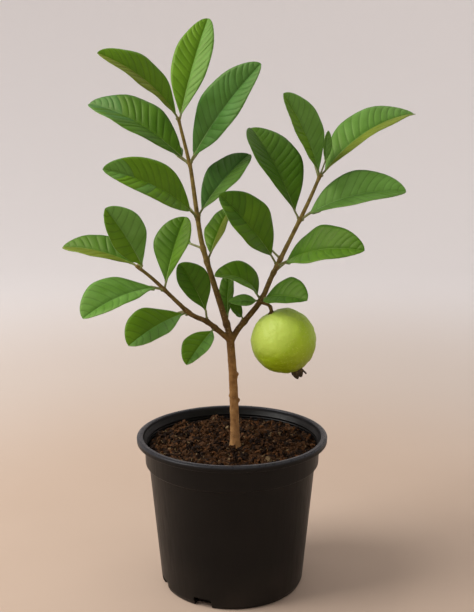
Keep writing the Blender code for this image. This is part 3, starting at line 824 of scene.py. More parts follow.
blades = {}
chance = random.Random(LEAF_SEED)
tint_chance = random.Random(TINT_SEED)
for shoot_name, leaves in LEAVES.items():
    joined = bmesh.new()
    for index, leaf in enumerate(leaves):
        node, foot = leaf_foot(leaf, SHOOTS[shoot_name])
        blade = Blade(leaf, foot, chance)
        blades[shoot_name, index] = blade
        mesh = make_blade(blade, tint_chance)
        joined.from_mesh(mesh)
        bpy.data.meshes.remove(mesh)
    piece = new_object(f"leaves_{shoot_name}", joined, leaf_materials)
    settle(piece, "leaf_green", *dict.fromkeys(leaf.node for leaf in leaves))

# %% [markdown]
# ## Bark
#
# The young trunk is tan and finely fissured, and its foot is painted palest, a painted light where
# the crown's shade no longer falls; the boughs above the fork are a darker brown, and the newest
# twigs are a yellow tan. One material covers them all and blends from one to the next by height, so
# no seam shows where a bough hands over to its twig. Fine streaks and pale specks, the lenticels
# that bark breathes through, are worked into the same colour and relief.

# %% Bark material
# The foot's tans are paler than the trunk's above: painted light below the crown's shade.
FOOT_TAN_PAINTED_LIGHT = ((0.315, 0.156, 0.056), (0.500, 0.265, 0.100))
# What the bark turns to higher up, with the heights where each change starts and ends.
BARK_CHANGES = (
    (((0.238, 0.113, 0.033), (0.385, 0.200, 0.064)), 0.165, 0.205),
    (((0.076, 0.039, 0.010), (0.152, 0.085, 0.024)), 0.225, 0.280),
    (((0.135, 0.090, 0.020), (0.255, 0.185, 0.046)), 0.285, 0.365),
)
LENTICEL = (0.40, 0.28, 0.14, 1)
BARK_CLOUDS = 190
BARK_SPREAD = 0.16
LENTICEL_SCALE = 330.0
LENTICEL_EDGE = (0.24, 0.16)
LENTICEL_STRENGTH = 0.45
FISSURE_SCALE = 900
FISSURE_STRETCH = 0.16
BARK_BUMP = 0.25 * MM
BARK_BUMP_STRENGTH = 0.8

bark, tree, shader = new_material("bark", roughness=0.75, gloss=0.2)
place = add(tree, "TexCoord").outputs["Object"]
height = add(tree, "SeparateXYZ", {0: place}).outputs["Z"]
colour = clouded(tree, FOOT_TAN_PAINTED_LIGHT, BARK_CLOUDS, BARK_SPREAD)["Colour"]
for browns, start, end in BARK_CHANGES:
    fade = add(tree, "MapRange", {"Value": height, "From Min": start, "From Max": end})
    higher = clouded(tree, browns, BARK_CLOUDS, BARK_SPREAD)["Colour"]
    colour = mixed(tree, fade.outputs[0], colour, higher)
cells = add(tree, "TexVoronoi", {"Vector": place, "Scale": LENTICEL_SCALE}, feature="F1")
speck = add(tree, "MapRange", {
    "Value": cells.outputs["Distance"], "From Min": LENTICEL_EDGE[0], "From Max": LENTICEL_EDGE[1],
}).outputs[0]
faint = add(tree, "Math", {0: speck, 1: LENTICEL_STRENGTH}, operation="MULTIPLY").outputs[0]
colour = mixed(tree, faint, colour, LENTICEL)
tree.links.new(colour, shader.inputs["Base Color"])
fissures = place_group(tree, streaks, scale=FISSURE_SCALE, stretch=FISSURE_STRETCH)["Height"]
raised = add(tree, "Math", {0: speck, 1: fissures}, operation="ADD").outputs[0]
set_bump(tree, shader, raised, BARK_BUMP, BARK_BUMP_STRENGTH)
print("bark:", len(tree.nodes), "nodes")

# %% [markdown]
# ## Tubes
#
# Limbs, stalks and fibres are all tubes of changing radius along a curve. A tube is a grid that is
# wrapped round its path: across the grid becomes round the limb, and along the grid becomes along
# it. Its first and last rings close to a point. At each point the tube needs a side direction to
# measure its turn from. Carrying the last side along, and only straightening it, keeps the tube
# from twisting.

# %% Tubes
TUBE_CAP = 0.6
TUBE_WELD = 0.005 * MM


def path_frames(points):
    """For each point of a path, its direction and a side direction that turns as little as it can."""
    frames = []
    side = Vector((1, 0, 0))
    for before, after in zip([points[0], *points[:-1]], [*points[1:], points[-1]]):
        ahead = (after - before).normalized()
        side = (side - ahead * side.dot(ahead)).normalized()
        frames.append((ahead, side))
    return frames


def add_tube(shape, points, radii, sides):
    """Wraps a grid round a path in the bmesh and closes its ends."""
    points = [Vector(point) for point in points]
    ahead = (points[1] - points[0]).normalized()
    beyond = (points[-1] - points[-2]).normalized()
    first = points[0] - ahead * radii[0] * TUBE_CAP
    last = points[-1] + beyond * radii[-1] * TUBE_CAP
    points = [first, *points, last]
    radii = [0, *radii, 0]
    frames = path_frames(points)
    made = bmesh.ops.create_grid(shape, x_segments=sides, y_segments=len(points) - 1, size=1)
    for vert in made["verts"]:
        ring = round((vert.co.y + 1) / 2 * (len(points) - 1))
        angle = pi * vert.co.x
        ahead, side = frames[ring]
        out = side * cos(angle) + ahead.cross(side) * sin(angle)
        vert.co = (points[ring] + out * radii[ring]) * MM
    bmesh.ops.remove_doubles(shape, verts=made["verts"], dist=TUBE_WELD)


print("a tube's closed end reaches past its path by this share of its radius:", TUBE_CAP)

# %% [markdown]
# ## Trunk and boughs
#
# Where boughs leave a trunk, living wood flows from one into the other without a seam, which
# overlapping tubes can't show. So the limbs are first made as tubes that run into each other, with
# a swelling at the fork and at each leaf node and a few healed stubs where old shoots were cut.
# The trunk flares where it enters the potting mix.

# %% Limbs
TRUNK_FOOT = (3.2, 0.0)
TRUNK_LOW = (3.1, 0)
TRUNK_LOW_HEIGHT = 6
TRUNK_WAY = ((2.7, 0, 171), (2.1, 0, 198), (0.7, 0, 229), (-1.3, 0, 257), (-2.4, 0, 268))
TRUNK_STEPS = 6
TRUNK_FOOT_DEPTH = 4
TRUNK_RADIUS = 4.9
TRUNK_TOP_RADIUS = 4.1
FLARE_HEIGHT = 14.0
FLARE_GROWTH = 1.9
FLARE_CURVE = 1.6
SOIL_TOP = 146.5
NODE_SWELL = 0.26
NODE_LENGTH = 4.0
LIMB_SIDES = 28
LIMB_STEP = 1.5
FORK_PLACE = (-2.2, 0, 264.5)
FORK_SIZE = (5.0, 4.6, 5.2)
# Healed stubs and buds: height on the trunk, bearing round it, how far out, and radius.
STUBS = (
    (226, 96, 4.2, 2.3), (222.5, 80, 3.9, 1.7), (198, 92, 4.6, 1.9), (203, -85, 4.4, 1.5),
    (241, -60, 3.7, 1.4), (180, 150, 4.8, 1.6), (234, 190, 3.9, 1.9), (211, 250, 4.3, 1.6),
)
STUB_STRETCH = 1.15


def shoot_tube(shoot, leaves, start, end):
    """Points and radii along a shoot, swollen a little where its leaves stand."""
    way = smooth_way(shoot.way, WAY_STEPS)
    count = max(2, round((end - start) / LIMB_STEP))
    points = []
    radii = []
    for index in range(count + 1):
        along = start + (end - start) * index / count
        nearest = min(abs(along - leaf.along) for leaf in leaves)
        swell = 1 + NODE_SWELL * max(0.0, 1 - nearest / NODE_LENGTH)
        points.append(along_way(way, along)[0])
        radii.append(shoot_radius(shoot, along) * swell)
    return points, radii


def add_ball(shape, centre, size, turn=None, segments=12):
    """A ball in the bmesh, with its own half width along each axis and its own turn."""
    made = bmesh.ops.create_uvsphere(shape, u_segments=segments, v_segments=segments // 2 + 2, radius=1)
    matrix = Matrix.Translation(Vector(centre) * MM) @ (turn or Quaternion()).to_matrix().to_4x4()
    matrix = matrix @ Matrix.Diagonal((*(Vector(size) * MM), 1))
    bmesh.ops.transform(shape, matrix=matrix, verts=made["verts"])


def trunk_points():
    """The trunk's path from under the soil's surface to the fork, with the radius at each point."""
    foot = (*TRUNK_FOOT, SOIL_TOP - TRUNK_FOOT_DEPTH)
    points = smooth_way((foot, (*TRUNK_LOW, SOIL_TOP + TRUNK_LOW_HEIGHT), *TRUNK_WAY), TRUNK_STEPS)
    radii = []
    for point in points:
        height = (point.z - SOIL_TOP) / (TRUNK_WAY[-1][2] - SOIL_TOP)
        flare = min(1.0, max(0.0, 1 - (point.z - SOIL_TOP) / FLARE_HEIGHT))
        taper = TRUNK_RADIUS + (TRUNK_TOP_RADIUS - TRUNK_RADIUS) * height
        radii.append(taper + FLARE_GROWTH * flare**FLARE_CURVE)
    return points, radii


limbs = bmesh.new()
add_tube(limbs, *trunk_points(), LIMB_SIDES)
for name, shoot in SHOOTS.items():
    add_tube(limbs, *shoot_tube(shoot, LEAVES[name], 0, shoot.bough_length), LIMB_SIDES)
add_ball(limbs, FORK_PLACE, FORK_SIZE)
for stub_height, bearing, reach, radius in STUBS:
    lean = min(TRUNK_WAY, key=lambda point: abs(point[2] - stub_height))[0]
    centre = (lean + reach * sin(radians(bearing)), -reach * cos(radians(bearing)), stub_height)
    add_ball(limbs, centre, (radius, radius, radius * STUB_STRETCH))
bmesh.ops.recalc_face_normals(limbs, faces=limbs.faces)
trunk_and_boughs = new_object("trunk_and_boughs", limbs, [bark])
print("faces before they are fused:", len(trunk_and_boughs.data.polygons))

# %% [markdown]
# ## One skin of bark
#
# A Remesh modifier in voxel mode fuses the tubes into one skin: it fills space with small cubes and
# keeps only the outer surface, so nothing of the overlaps remains. That skin is smoothed, and gets
# its relief by moving each point along its normal: long shallow ridges and small lumps, gentler on
# the thin boughs.

# %% The skin
VOXEL = 0.62
SMOOTH_TURNS = 3
BARK_RIDGES = 0.22
BARK_LUMPS = 0.30
# How fast each of them changes across the limbs and along them.
RIDGE_SCALE = (0.85, 0.13)
LUMP_SCALE = (0.22, 0.16)
LUMP_SHIFT = 5
# The relief weakens upwards: it would end at this height, is full this far below it, and never
# falls under this share.
RELIEF_END = 300
RELIEF_FADE = 60
RELIEF_LEAST = 0.45


def apply_modifiers(piece):
    """Gives the piece the mesh that its modifiers make."""
    evaluated = piece.evaluated_get(bpy.context.evaluated_depsgraph_get())
    mesh = bpy.data.meshes.new_from_object(evaluated)
    piece.modifiers.clear()
    old = piece.data
    piece.data = mesh
    bpy.data.meshes.remove(old)


remesh = trunk_and_boughs.modifiers.new("fuse", "REMESH")
remesh.mode = "VOXEL"
remesh.voxel_size = VOXEL * MM
remesh.use_smooth_shade = True
apply_modifiers(trunk_and_boughs)
skin = bmesh.new()
skin.from_mesh(trunk_and_boughs.data)
for turn in range(SMOOTH_TURNS):
    bmesh.ops.smooth_vert(
        skin, verts=skin.verts, factor=0.5, use_axis_x=True, use_axis_y=True, use_axis_z=True
    )
skin.normal_update()
moves = []
for vert in skin.verts:
    x, y, z = vert.co / MM
    across, along = RIDGE_SCALE
    ridge = BARK_RIDGES * noise.noise((x * across, y * across, z * along))
    across, along = LUMP_SCALE
    lump = BARK_LUMPS * noise.noise((x * across + LUMP_SHIFT, y * across, z * along))
    thick = min(1.0, max(RELIEF_LEAST, (RELIEF_END - z) / RELIEF_FADE))
    moves.append(vert.normal * (ridge + lump) * thick * MM)
for vert, move in zip(skin.verts, moves):
    vert.co += move
skin.to_mesh(trunk_and_boughs.data)
skin.free()
trunk_and_boughs.data.shade_smooth()
settle(trunk_and_boughs, "trunk_bark", "trunk", "leader_bough", "left_bough", "right_bough")

# %% [markdown]
# ## Stalks and buds
#
# From each node of a shoot a short stalk carries the blade, and runs on beneath it as the midrib,
# which is a rib that thins out towards the tip. Stalk and midrib are one tapering tube that
# follows the blade's own curve; the part under the blade takes a paler green. In the corner
# between stalk and twig sits a small bud.

# %% Stalks and buds
STALK_SIDES = 9
STALK_FOOT_SWELL = 1.6
STALK_LOW_SWELL = 1.1
STALK_PLACES = (0.35, 0.7)
MIDRIB_STEPS = 12
MIDRIB_END = 0.94
MIDRIB_TIP_RADIUS = 0.22
MIDRIB_TAPER = 1.3
MIDRIB_SUNK = 0.2
MIDRIB_STARTS = 0.04
BUD_SIZE = (0.85, 0.85, 1.9)
BUD_LEAN = 0.7
BUD_CLEAR = 0.3
BUD_REACH = 1.6
STALK_GREEN = ((0.12, 0.13, 0.03), (0.26, 0.26, 0.08))
MIDRIB_PALE = ((0.26, 0.36, 0.12), (0.36, 0.45, 0.19))
STALK_CLOUDS = 160
STALK_SPREAD = 0.18
STALK_STREAKS = 1200
STALK_STRETCH = 0.3
STALK_BUMP = 0.1 * MM

stalk_material, tree, shader = new_material("leaf_stalk", roughness=0.55)
clouds = clouded(tree, STALK_GREEN, STALK_CLOUDS, STALK_SPREAD)
tree.links.new(clouds["Colour"], shader.inputs["Base Color"])
grooves = place_group(tree, streaks, scale=STALK_STREAKS, stretch=STALK_STRETCH)["Height"]
set_bump(tree, shader, grooves, STALK_BUMP)
midrib_material = leaf_material("midrib", MIDRIB_PALE, VEIN_ROUGHNESS, SMOOTH_NET_DEPTH)


def stalk_path(blade, node, stalk_radius):
    """The stalk's points from its node to the blade, then under the midrib, with radii."""
    points = [node, *(node.lerp(blade.foot, share) for share in STALK_PLACES), blade.foot]
    radii = [stalk_radius * swell for swell in (STALK_FOOT_SWELL, STALK_LOW_SWELL, 1, 1)]
    for step in range(1, MIDRIB_STEPS + 1):
        u = MIDRIB_END * step / MIDRIB_STEPS
        middle, face, _ = blade.midrib(u)
        radius = MIDRIB_TIP_RADIUS + (stalk_radius - MIDRIB_TIP_RADIUS) * (1 - u) ** MIDRIB_TAPER
        points.append(middle - face * (MIDRIB_DEPTH + BLADE_THICKNESS + radius * MIDRIB_SUNK))
        radii.append(radius)
    return points, radii


def add_stalk(shape, blade, node):
    """One stalk with its midrib; the part under the blade takes the midrib's paler green."""
    small = blade.leaf.length < SMALL_LEAF
    stalk_radius = STALK_RADIUS_SMALL if small else STALK_RADIUS
    before = len(shape.faces)
    add_tube(shape, *stalk_path(blade, node, stalk_radius), STALK_SIDES)
    shape.faces.ensure_lookup_table()
    ahead = blade.foot + blade.chord * blade.leaf.length * MIDRIB_STARTS
    for face in shape.faces[before:]:
        past = (face.calc_center_median() / MM - ahead).dot(blade.chord) > 0
        face.material_index = 2 if past else 1


def add_bud(shape, node, limb, out, limb_radius):
    """A pointed bud in the corner above a stalk, leaning out from the shoot."""
    before = len(shape.faces)
    direction = (limb + out * BUD_LEAN).normalized()
    centre = node + out * (limb_radius + BUD_CLEAR) + direction * BUD_REACH
    add_ball(shape, centre, BUD_SIZE, Vector((0, 0, 1)).rotation_difference(direction), 8)
    shape.faces.ensure_lookup_table()
    for face in shape.faces[before:]:
        face.material_index = 1


print("stalk materials:", stalk_material.name, midrib_material.name)

# %% [markdown]
# ## Twigs
#
# Past the last thick wood a shoot goes on as a slim twig. It starts a little inside the bough's
# end, so no gap can open between them. Twig, stalks and buds of one shoot are joined into one
# object with three materials: bark, stalk green and midrib green.

# %% Twigs
TWIG_SIDES = 14
TWIG_OVERLAP = 2.5

for name, shoot in SHOOTS.items():
    twigs = bmesh.new()
    way = smooth_way(shoot.way, WAY_STEPS)
    start = shoot.bough_length - TWIG_OVERLAP
    add_tube(twigs, *shoot_tube(shoot, LEAVES[name], start, way_length(way)), TWIG_SIDES)
    for index, leaf in enumerate(LEAVES[name]):
        node, limb = along_way(way, leaf.along)
        out = heading(leaf.stalk_bearing, leaf.toward)
        out = (out - limb * out.dot(limb)).normalized()
        add_stalk(twigs, blades[name, index], node)
        add_bud(twigs, node, limb, out, shoot_radius(shoot, leaf.along))
    bmesh.ops.recalc_face_normals(twigs, faces=twigs.faces)
    piece = new_object(f"twigs_{name}", twigs, [bark, stalk_material, midrib_material])
    settle(piece, "bough_bark", *dict.fromkeys(leaf.node for leaf in LEAVES[name]))

# %% [markdown]
# ## The fruit
#
# One ripe guava hangs from the right bough: a nearly round berry with a shallow dimple at its
# stalk. Its skin is never quite even, so the ball is turned from a profile and then moved in and
# out by three sizes of soft noise.

# %% The fruit's shape
FRUIT_CENTRE = Vector((53.3, -3.0, 262.7))
FRUIT_RADIUS = 33.5
FRUIT_AXIS = Vector((-28.8, 4.0, 62.8)).normalized()
FRUIT_LENGTH = 67.0
FRUIT_DIMPLE = 2.4
FRUIT_RINGS = 72
FRUIT_STEPS = 128
FRUIT_LUMPS = ((0.05, 0.7), (0.15, 0.60), (0.33, 0.42))
DIMPLE_SHARPNESS = 24

ball = bmesh.new()
profile = []
for ring in range(FRUIT_RINGS + 1):
    angle = pi * ring / FRUIT_RINGS
    dimple = FRUIT_DIMPLE * max(0.0, cos(angle)) ** DIMPLE_SHARPNESS
    profile.append((FRUIT_RADIUS * MM * sin(angle), (FRUIT_LENGTH / 2 * cos(angle) - dimple) * MM))
turn_profile(ball, profile, FRUIT_STEPS)
bmesh.ops.recalc_face_normals(ball, faces=ball.faces)
ball.normal_update()
for vert in ball.verts:
    lumps = sum(noise.noise(vert.co / MM * scale) * depth for scale, depth in FRUIT_LUMPS)
    vert.co += vert.normal * lumps * MM
fruit_turn = Vector((0, 0, 1)).rotation_difference(FRUIT_AXIS)
to_place = Matrix.Translation(FRUIT_CENTRE * MM) @ fruit_turn.to_matrix().to_4x4()
bmesh.ops.transform(ball, matrix=to_place, verts=ball.verts)
print("fruit faces:", len(ball.faces))

# %% [markdown]
# ## The fruit's skin
#
# The skin is waxy. Its colour is a mottle of a warm yellow green and a greener one, turns deeper
# towards the calyx, and is painted paler on the upper shoulder towards the light, a painted
# highlight. How far a point lies towards a side is the dot product of its place, measured from the
# fruit's middle, with that side's direction. Faint pale dots are the pores, and the net of skin
# cells gives a very fine relief.

# %% The fruit's skin
SKIN_GREENS = ((0.275, 0.425, 0.003), (0.45, 0.63, 0.018))
SKIN_BASE = (0.23, 0.28, 0.0015, 1)
SKIN_DOT = (0.56, 0.64, 0.10, 1)
# A painted highlight: the paler colour on the side towards the light, its direction and its reach.
SKIN_PAINTED_HIGHLIGHT = (0.72, 0.88, 0.19, 1)
HIGHLIGHT_SIDE = Vector((-0.50, -0.58, 0.64))
HIGHLIGHT_FROM = 0.45
HIGHLIGHT_MOST = 0.72
END_FROM = -6 * MM
SKIN_CLOUDS = 32
SKIN_SPREAD = 0.42
PORE_SCALE = 420.0
PORE_EDGE = (0.30, 0.10)
PORE_STRENGTH = 0.6
SKIN_CELLS = 330
SKIN_CELL_WIDTH = 0.3
SKIN_BUMP = 0.16 * MM
SKIN_BUMP_STRENGTH = 0.8


def towards(tree, place, side):
    """How far a place lies towards a side, in metres."""
    return add(tree, "VectorMath", {0: place, 1: tuple(side)}, operation="DOT_PRODUCT").outputs["Value"]


skin_material, tree, shader = new_material("guava_skin", roughness=0.46, gloss=0.36)
place = add(tree, "TexCoord").outputs["Object"]
out = add(tree, "Mapping", {0: place, "Location": tuple(-FRUIT_CENTRE * MM)}).outputs[0]
end = add(tree, "MapRange", {
    "Value": towards(tree, out, FRUIT_AXIS), "From Min": END_FROM, "From Max": -FRUIT_LENGTH / 2 * MM,
}).outputs[0]
clouds = clouded(tree, SKIN_GREENS, SKIN_CLOUDS, SKIN_SPREAD)["Colour"]
colour = mixed(tree, end, clouds, SKIN_BASE)
# The painted highlight on the shoulder towards the light.
painted_highlight = add(tree, "MapRange", {
    "Value": towards(tree, out, HIGHLIGHT_SIDE), "From Min": HIGHLIGHT_FROM * FRUIT_RADIUS * MM,
    "From Max": FRUIT_RADIUS * MM, "To Max": HIGHLIGHT_MOST,
}).outputs[0]
colour = mixed(tree, painted_highlight, colour, SKIN_PAINTED_HIGHLIGHT)
pores = add(tree, "TexVoronoi", {"Vector": place, "Scale": PORE_SCALE}).outputs["Distance"]
dot = add(tree, "MapRange", {
    "Value": pores, "From Min": PORE_EDGE[0], "From Max": PORE_EDGE[1], "To Max": PORE_STRENGTH,
}).outputs[0]
tree.links.new(mixed(tree, dot, colour, SKIN_DOT), shader.inputs["Base Color"])
cells = place_group(tree, net, scale=SKIN_CELLS, width=SKIN_CELL_WIDTH)["Height"]
set_bump(tree, shader, cells, SKIN_BUMP, SKIN_BUMP_STRENGTH)
fruit = new_object("guava_fruit_skin", ball, [skin_material])
settle(fruit, "fruit_skin", "guava_fruit")

# %% [markdown]
# ## The calyx
#
# The flower's five sepals stay on a guava as a dry brown crown at its lower end. Each is a small
# grid, narrowed to a ragged tip and curled outward, with its thickness from solidify. They stand
# on a low ring, turned from a profile.

# %% Calyx
SEPALS = 5
SEPAL_LENGTH = 10.5
SEPAL_WIDTH = 8.5
SEPAL_THICKNESS = 1.4
SEPAL_SPREAD = 12.0
CALYX_RING = 3.6
SEPAL_VARIES = (0.7, 1.05)
SEPAL_CURLS = (-0.25, 0.2)
SEPAL_TURN = 0.15
SEPAL_NARROWS = 0.8
SEPAL_CUP = 0.5
SEPAL_RAGGED = 0.12
SEPAL_SUNK = 0.9
RING_PROFILE = (
    (0, 1.5), (5.2, 1.2), (5.6, 0.0), (5.1, -1.3), (4.1, -1.6), (3.3, -0.6), (1.5, -0.1), (0, -0.1),
)
RING_SIDES = 40
CALYX_SEED = 5
CALYX_BROWN = ((0.022, 0.012, 0.004), (0.095, 0.060, 0.022))
CALYX_CLOUDS = 320
CALYX_BUMP = 0.3 * MM

calyx_material, tree, shader = new_material("dry_calyx", roughness=0.85)
clouds = clouded(tree, CALYX_BROWN, CALYX_CLOUDS)
tree.links.new(clouds["Colour"], shader.inputs["Base Color"])
set_bump(tree, shader, clouds["Mask"], CALYX_BUMP)


def add_sepal(shape, number, chance):
    """One ragged sepal below the fruit's end, before it has its thickness."""
    made = bmesh.ops.create_grid(shape, x_segments=6, y_segments=8, size=1)
    length = SEPAL_LENGTH * chance.uniform(*SEPAL_VARIES)
    bearing = 2 * pi * number / SEPALS + chance.uniform(-SEPAL_TURN, SEPAL_TURN)
    curl = chance.uniform(*SEPAL_CURLS)
    for vert in made["verts"]:
        x = vert.co.x
        t = (vert.co.y + 1) / 2
        half = SEPAL_WIDTH / 2 * (1 - t**3 * SEPAL_NARROWS)
        half *= 1 + SEPAL_RAGGED * noise.noise((x * 3, t * 4, number))
        lean = radians(SEPAL_SPREAD) + curl * t
        out = CALYX_RING + length * t * sin(lean) - SEPAL_CUP * (1 - x * x) * t
        down = length * t * cos(lean) * (1 - SEPAL_RAGGED * abs(noise.noise((x * 4, number, 0))))
        spot = Vector((out, x * half, -down - FRUIT_LENGTH / 2 + SEPAL_SUNK))
        vert.co = Quaternion((0, 0, 1), bearing) @ spot * MM


chance = random.Random(CALYX_SEED)
calyx = bmesh.new()
for number in range(SEPALS):
    add_sepal(calyx, number, chance)
calyx.normal_update()
bmesh.ops.solidify(calyx, geom=calyx.faces[:], thickness=SEPAL_THICKNESS * MM)
ring = bmesh.new()
ring_points = [(radius * MM, (height - FRUIT_LENGTH / 2) * MM) for radius, height in RING_PROFILE]
turn_profile(ring, ring_points, RING_SIDES)
ring_mesh = bpy.data.meshes.new("ring")
ring.to_mesh(ring_mesh)
ring.free()
calyx.from_mesh(ring_mesh)
bpy.data.meshes.remove(ring_mesh)
bmesh.ops.transform(calyx, matrix=to_place, verts=calyx.verts)
bmesh.ops.recalc_face_normals(calyx, faces=calyx.faces)
settle(new_object("fruit_calyx", calyx, [calyx_material]), "trunk_bark", "guava_fruit")

# %% [markdown]
# ## The fruit's stalk
#
# At the other end a short woody stalk arches from the bough and widens where it enters the dimple.
# Its radii are listed, one to each point of its smooth path, so it can be thick at both ends, slim
# between them and knobbly as old fruit stalks are.

# %% Fruit stalk
FRUIT_STALK_ALONG = 50
STALK_WAY = ((38, 6, 298), (40.2, 0, 294.5))
STALK_STEPS = 4
STALK_RADII = (2.1, 1.8, 1.7, 1.7, 1.75, 1.9, 2.2, 2.0, 1.8, 1.9, 2.5, 3.4, 4.1)
FRUIT_STALK_SIDES = 18
STALK_SUNK = 1

stalk = bmesh.new()
node, _ = along_way(smooth_way(SHOOTS["right"].way, WAY_STEPS), FRUIT_STALK_ALONG)
sunk = FRUIT_CENTRE + FRUIT_AXIS * (FRUIT_LENGTH / 2 - FRUIT_DIMPLE - STALK_SUNK)
route = smooth_way((node, *STALK_WAY, sunk), STALK_STEPS)
add_tube(stalk, route, STALK_RADII, FRUIT_STALK_SIDES)
bmesh.ops.recalc_face_normals(stalk, faces=stalk.faces)
settle(new_object("fruit_stalk", stalk, [bark]), "bough_bark", "guava_fruit")

# %% [markdown]
# ## The pot
#
# A nursery pot is one thin shell of black polypropylene: a tapering wall with drain notches in its
# foot, a slightly wider collar that stiffens it, and a turned-out lip to carry it by. Inside the
# collar a few fine rings help to stack it. It is a body of revolution, so its closed profile is
# drawn once, its corners are rounded with a vertex bevel, and spin turns it.

# %% Pot shape
POT_STEPS = 192
POT_HEIGHT = 162.0
RIM_RADIUS = 100.0
COLLAR_RADIUS = 91.0
COLLAR_BOTTOM = 131.0
WALL_TOP_RADIUS = 87.3
WALL_FOOT_RADIUS = 75.6
FOOT_RADIUS = 73.2
POT_WALL = 1.6
POT_FLOOR = 3.0
LIP_WIDTH = 6.8
LIP_DEPTH = 6.5
FLOOR_INSET = 0.2
FOOT_HEIGHT = 5.0
COLLAR_FLARE = 0.9
# How many millimetres the collar rises while it widens by one.
COLLAR_STEEPNESS = 24
LIP_UNDERCUT = 0.1
# The lip's outline: how far in from the rim, how far down from the top, and if the corner is soft.
LIP_OUTLINE = (
    (LIP_WIDTH, 3.0, True), (LIP_WIDTH - 0.3, 0.2, True), (2.6, 0, False), (1.9, 0.5, False),
    (0, 0.9, True), (0.3, LIP_DEPTH, True),
)
# The stacking rings' heights, and one ring's outline: how far in from the wall and how far up.
RINGS = (147.8, 150.6, 153.4)
RING_OUTLINE = ((0, -0.6), (0.45, 0), (0.45, 0.7), (-0.1, 1.3))
SHARP_ROUND = 0.2
SOFT_ROUND = 1.1
ROUND_STEPS = 4
POT_WELD = 0.002 * MM


def pot_profile():
    """The shell's closed outline from the inner floor up, over the lip and down; True is soft."""
    inner_collar = COLLAR_RADIUS - POT_WALL
    points = [
        (0, POT_FLOOR, False),
        (FOOT_RADIUS - FLOOR_INSET, POT_FLOOR, True),
        (WALL_TOP_RADIUS - POT_WALL, COLLAR_BOTTOM - POT_WALL, True),
        (inner_collar, COLLAR_BOTTOM + POT_WALL, True),
    ]
    for height in RINGS:
        wall = inner_collar + (height - COLLAR_BOTTOM) / COLLAR_STEEPNESS
        points += [(wall - inward, height + up, False) for inward, up in RING_OUTLINE]
    points += [(RIM_RADIUS - inward, POT_HEIGHT - down, soft) for inward, down, soft in LIP_OUTLINE]
    points += [
        (COLLAR_RADIUS + COLLAR_FLARE, POT_HEIGHT - LIP_DEPTH + LIP_UNDERCUT, False),
        (COLLAR_RADIUS, COLLAR_BOTTOM + POT_WALL, True),
        (WALL_TOP_RADIUS, COLLAR_BOTTOM, True),
        (WALL_FOOT_RADIUS, FOOT_HEIGHT, True),
        (FOOT_RADIUS, 0, True),
        (0, 0, False),
    ]
    return points


def round_corners(shape, verts, radius):
    """Rounds corners of a profile that is still a line."""
    bmesh.ops.bevel(
        shape, geom=verts, offset=radius * MM, offset_type="OFFSET", segments=ROUND_STEPS,
        profile=0.5, affect="VERTICES", material=-1,
    )


shell = bmesh.new()
corners = [(shell.verts.new((r * MM, 0, h * MM)), soft) for r, h, soft in pot_profile()]
for (start, _), (finish, _) in zip(corners, corners[1:]):
    shell.edges.new((start, finish))
inner = corners[1:-1]
round_corners(shell, [vert for vert, soft in inner if soft], SOFT_ROUND)
round_corners(shell, [vert for vert, soft in inner if not soft and vert.is_valid], SHARP_ROUND)
spin_round(shell, POT_STEPS, POT_WELD)
bmesh.ops.recalc_face_normals(shell, faces=shell.faces)
print("pot faces before the notches:", len(shell.faces))

# %% [markdown]
# ## Drain notches
#
# Six notches stand in the foot, evenly apart but for one wide gap, so that water can run out at
# the side where the wall meets the floor. They are cut by rounded boxes with a Boolean modifier,
# which is then applied, so that the cutter can be removed. The boxes are deeper than the wall is
# thick and pass right through its foot.

# %% Drain notches
DRAINS = 6
DRAIN_FIRST_BEARING = -23.5
DRAIN_STEP = -46.0
DRAIN_WIDTH = 19.5
DRAIN_HEIGHT = 10.0
DRAIN_DEPTH = 20.0
DRAIN_INSET = 1.5
DRAIN_ROUND = 1.6
SHARP_EDGE = 35

notches = bmesh.new()
size = Matrix.Diagonal((DRAIN_WIDTH * MM, DRAIN_DEPTH * MM, 2 * DRAIN_HEIGHT * MM, 1))
reach = (WALL_FOOT_RADIUS - DRAIN_INSET) * MM
for index in range(DRAINS):
    bearing = radians(DRAIN_FIRST_BEARING + index * DRAIN_STEP)
    made = bmesh.ops.create_cube(notches, size=1)
    spot = Matrix.Translation((reach * sin(bearing), -reach * cos(bearing), 0))
    turn = Matrix.Rotation(bearing, 4, "Z")
    bmesh.ops.transform(notches, matrix=spot @ turn @ size, verts=made["verts"])
bmesh.ops.bevel(
    notches, geom=notches.edges[:], offset=DRAIN_ROUND * MM, offset_type="OFFSET",
    segments=ROUND_STEPS, profile=0.5, affect="EDGES", material=-1,
)
cutter = new_object("notch_cutter", notches)
pot = new_object("nursery_pot", shell)
cut = pot.modifiers.new("drain_notches", "BOOLEAN")
cut.operation = "DIFFERENCE"
cut.object = cutter
apply_modifiers(pot)
bpy.data.objects.remove(cutter)
pot.data.set_sharp_from_angle(angle=radians(SHARP_EDGE))
print("pot faces:", len(pot.data.polygons))

# %% [markdown]
# ## Black plastic
#
# Recycled black polypropylene isn't pure black: it has a low sheen, slightly warm where dust lies
# on it, with faint vertical drag marks from the mould. The base is a mottle of two near-blacks.
# Dry dust gathers near the foot, splashed up when the plant is watered, and thins out upwards. The
# lip's top is painted a little greyer and bluer, a painted sheen, and is smoother. The drag marks go
# into both the roughness and a very shallow bump.

# %% Pot material
PLASTIC = ((0.0016, 0.0012, 0.0010), (0.0040, 0.0032, 0.0027))
DUST = (0.060, 0.046, 0.034, 1)
DUST_TOP = 0.050
DUST_MOST = 0.30
PLASTIC_CLOUDS = 22
PLASTIC_SPREAD = 0.3
PLASTIC_ROUGHNESS = (0.36, 0.50)
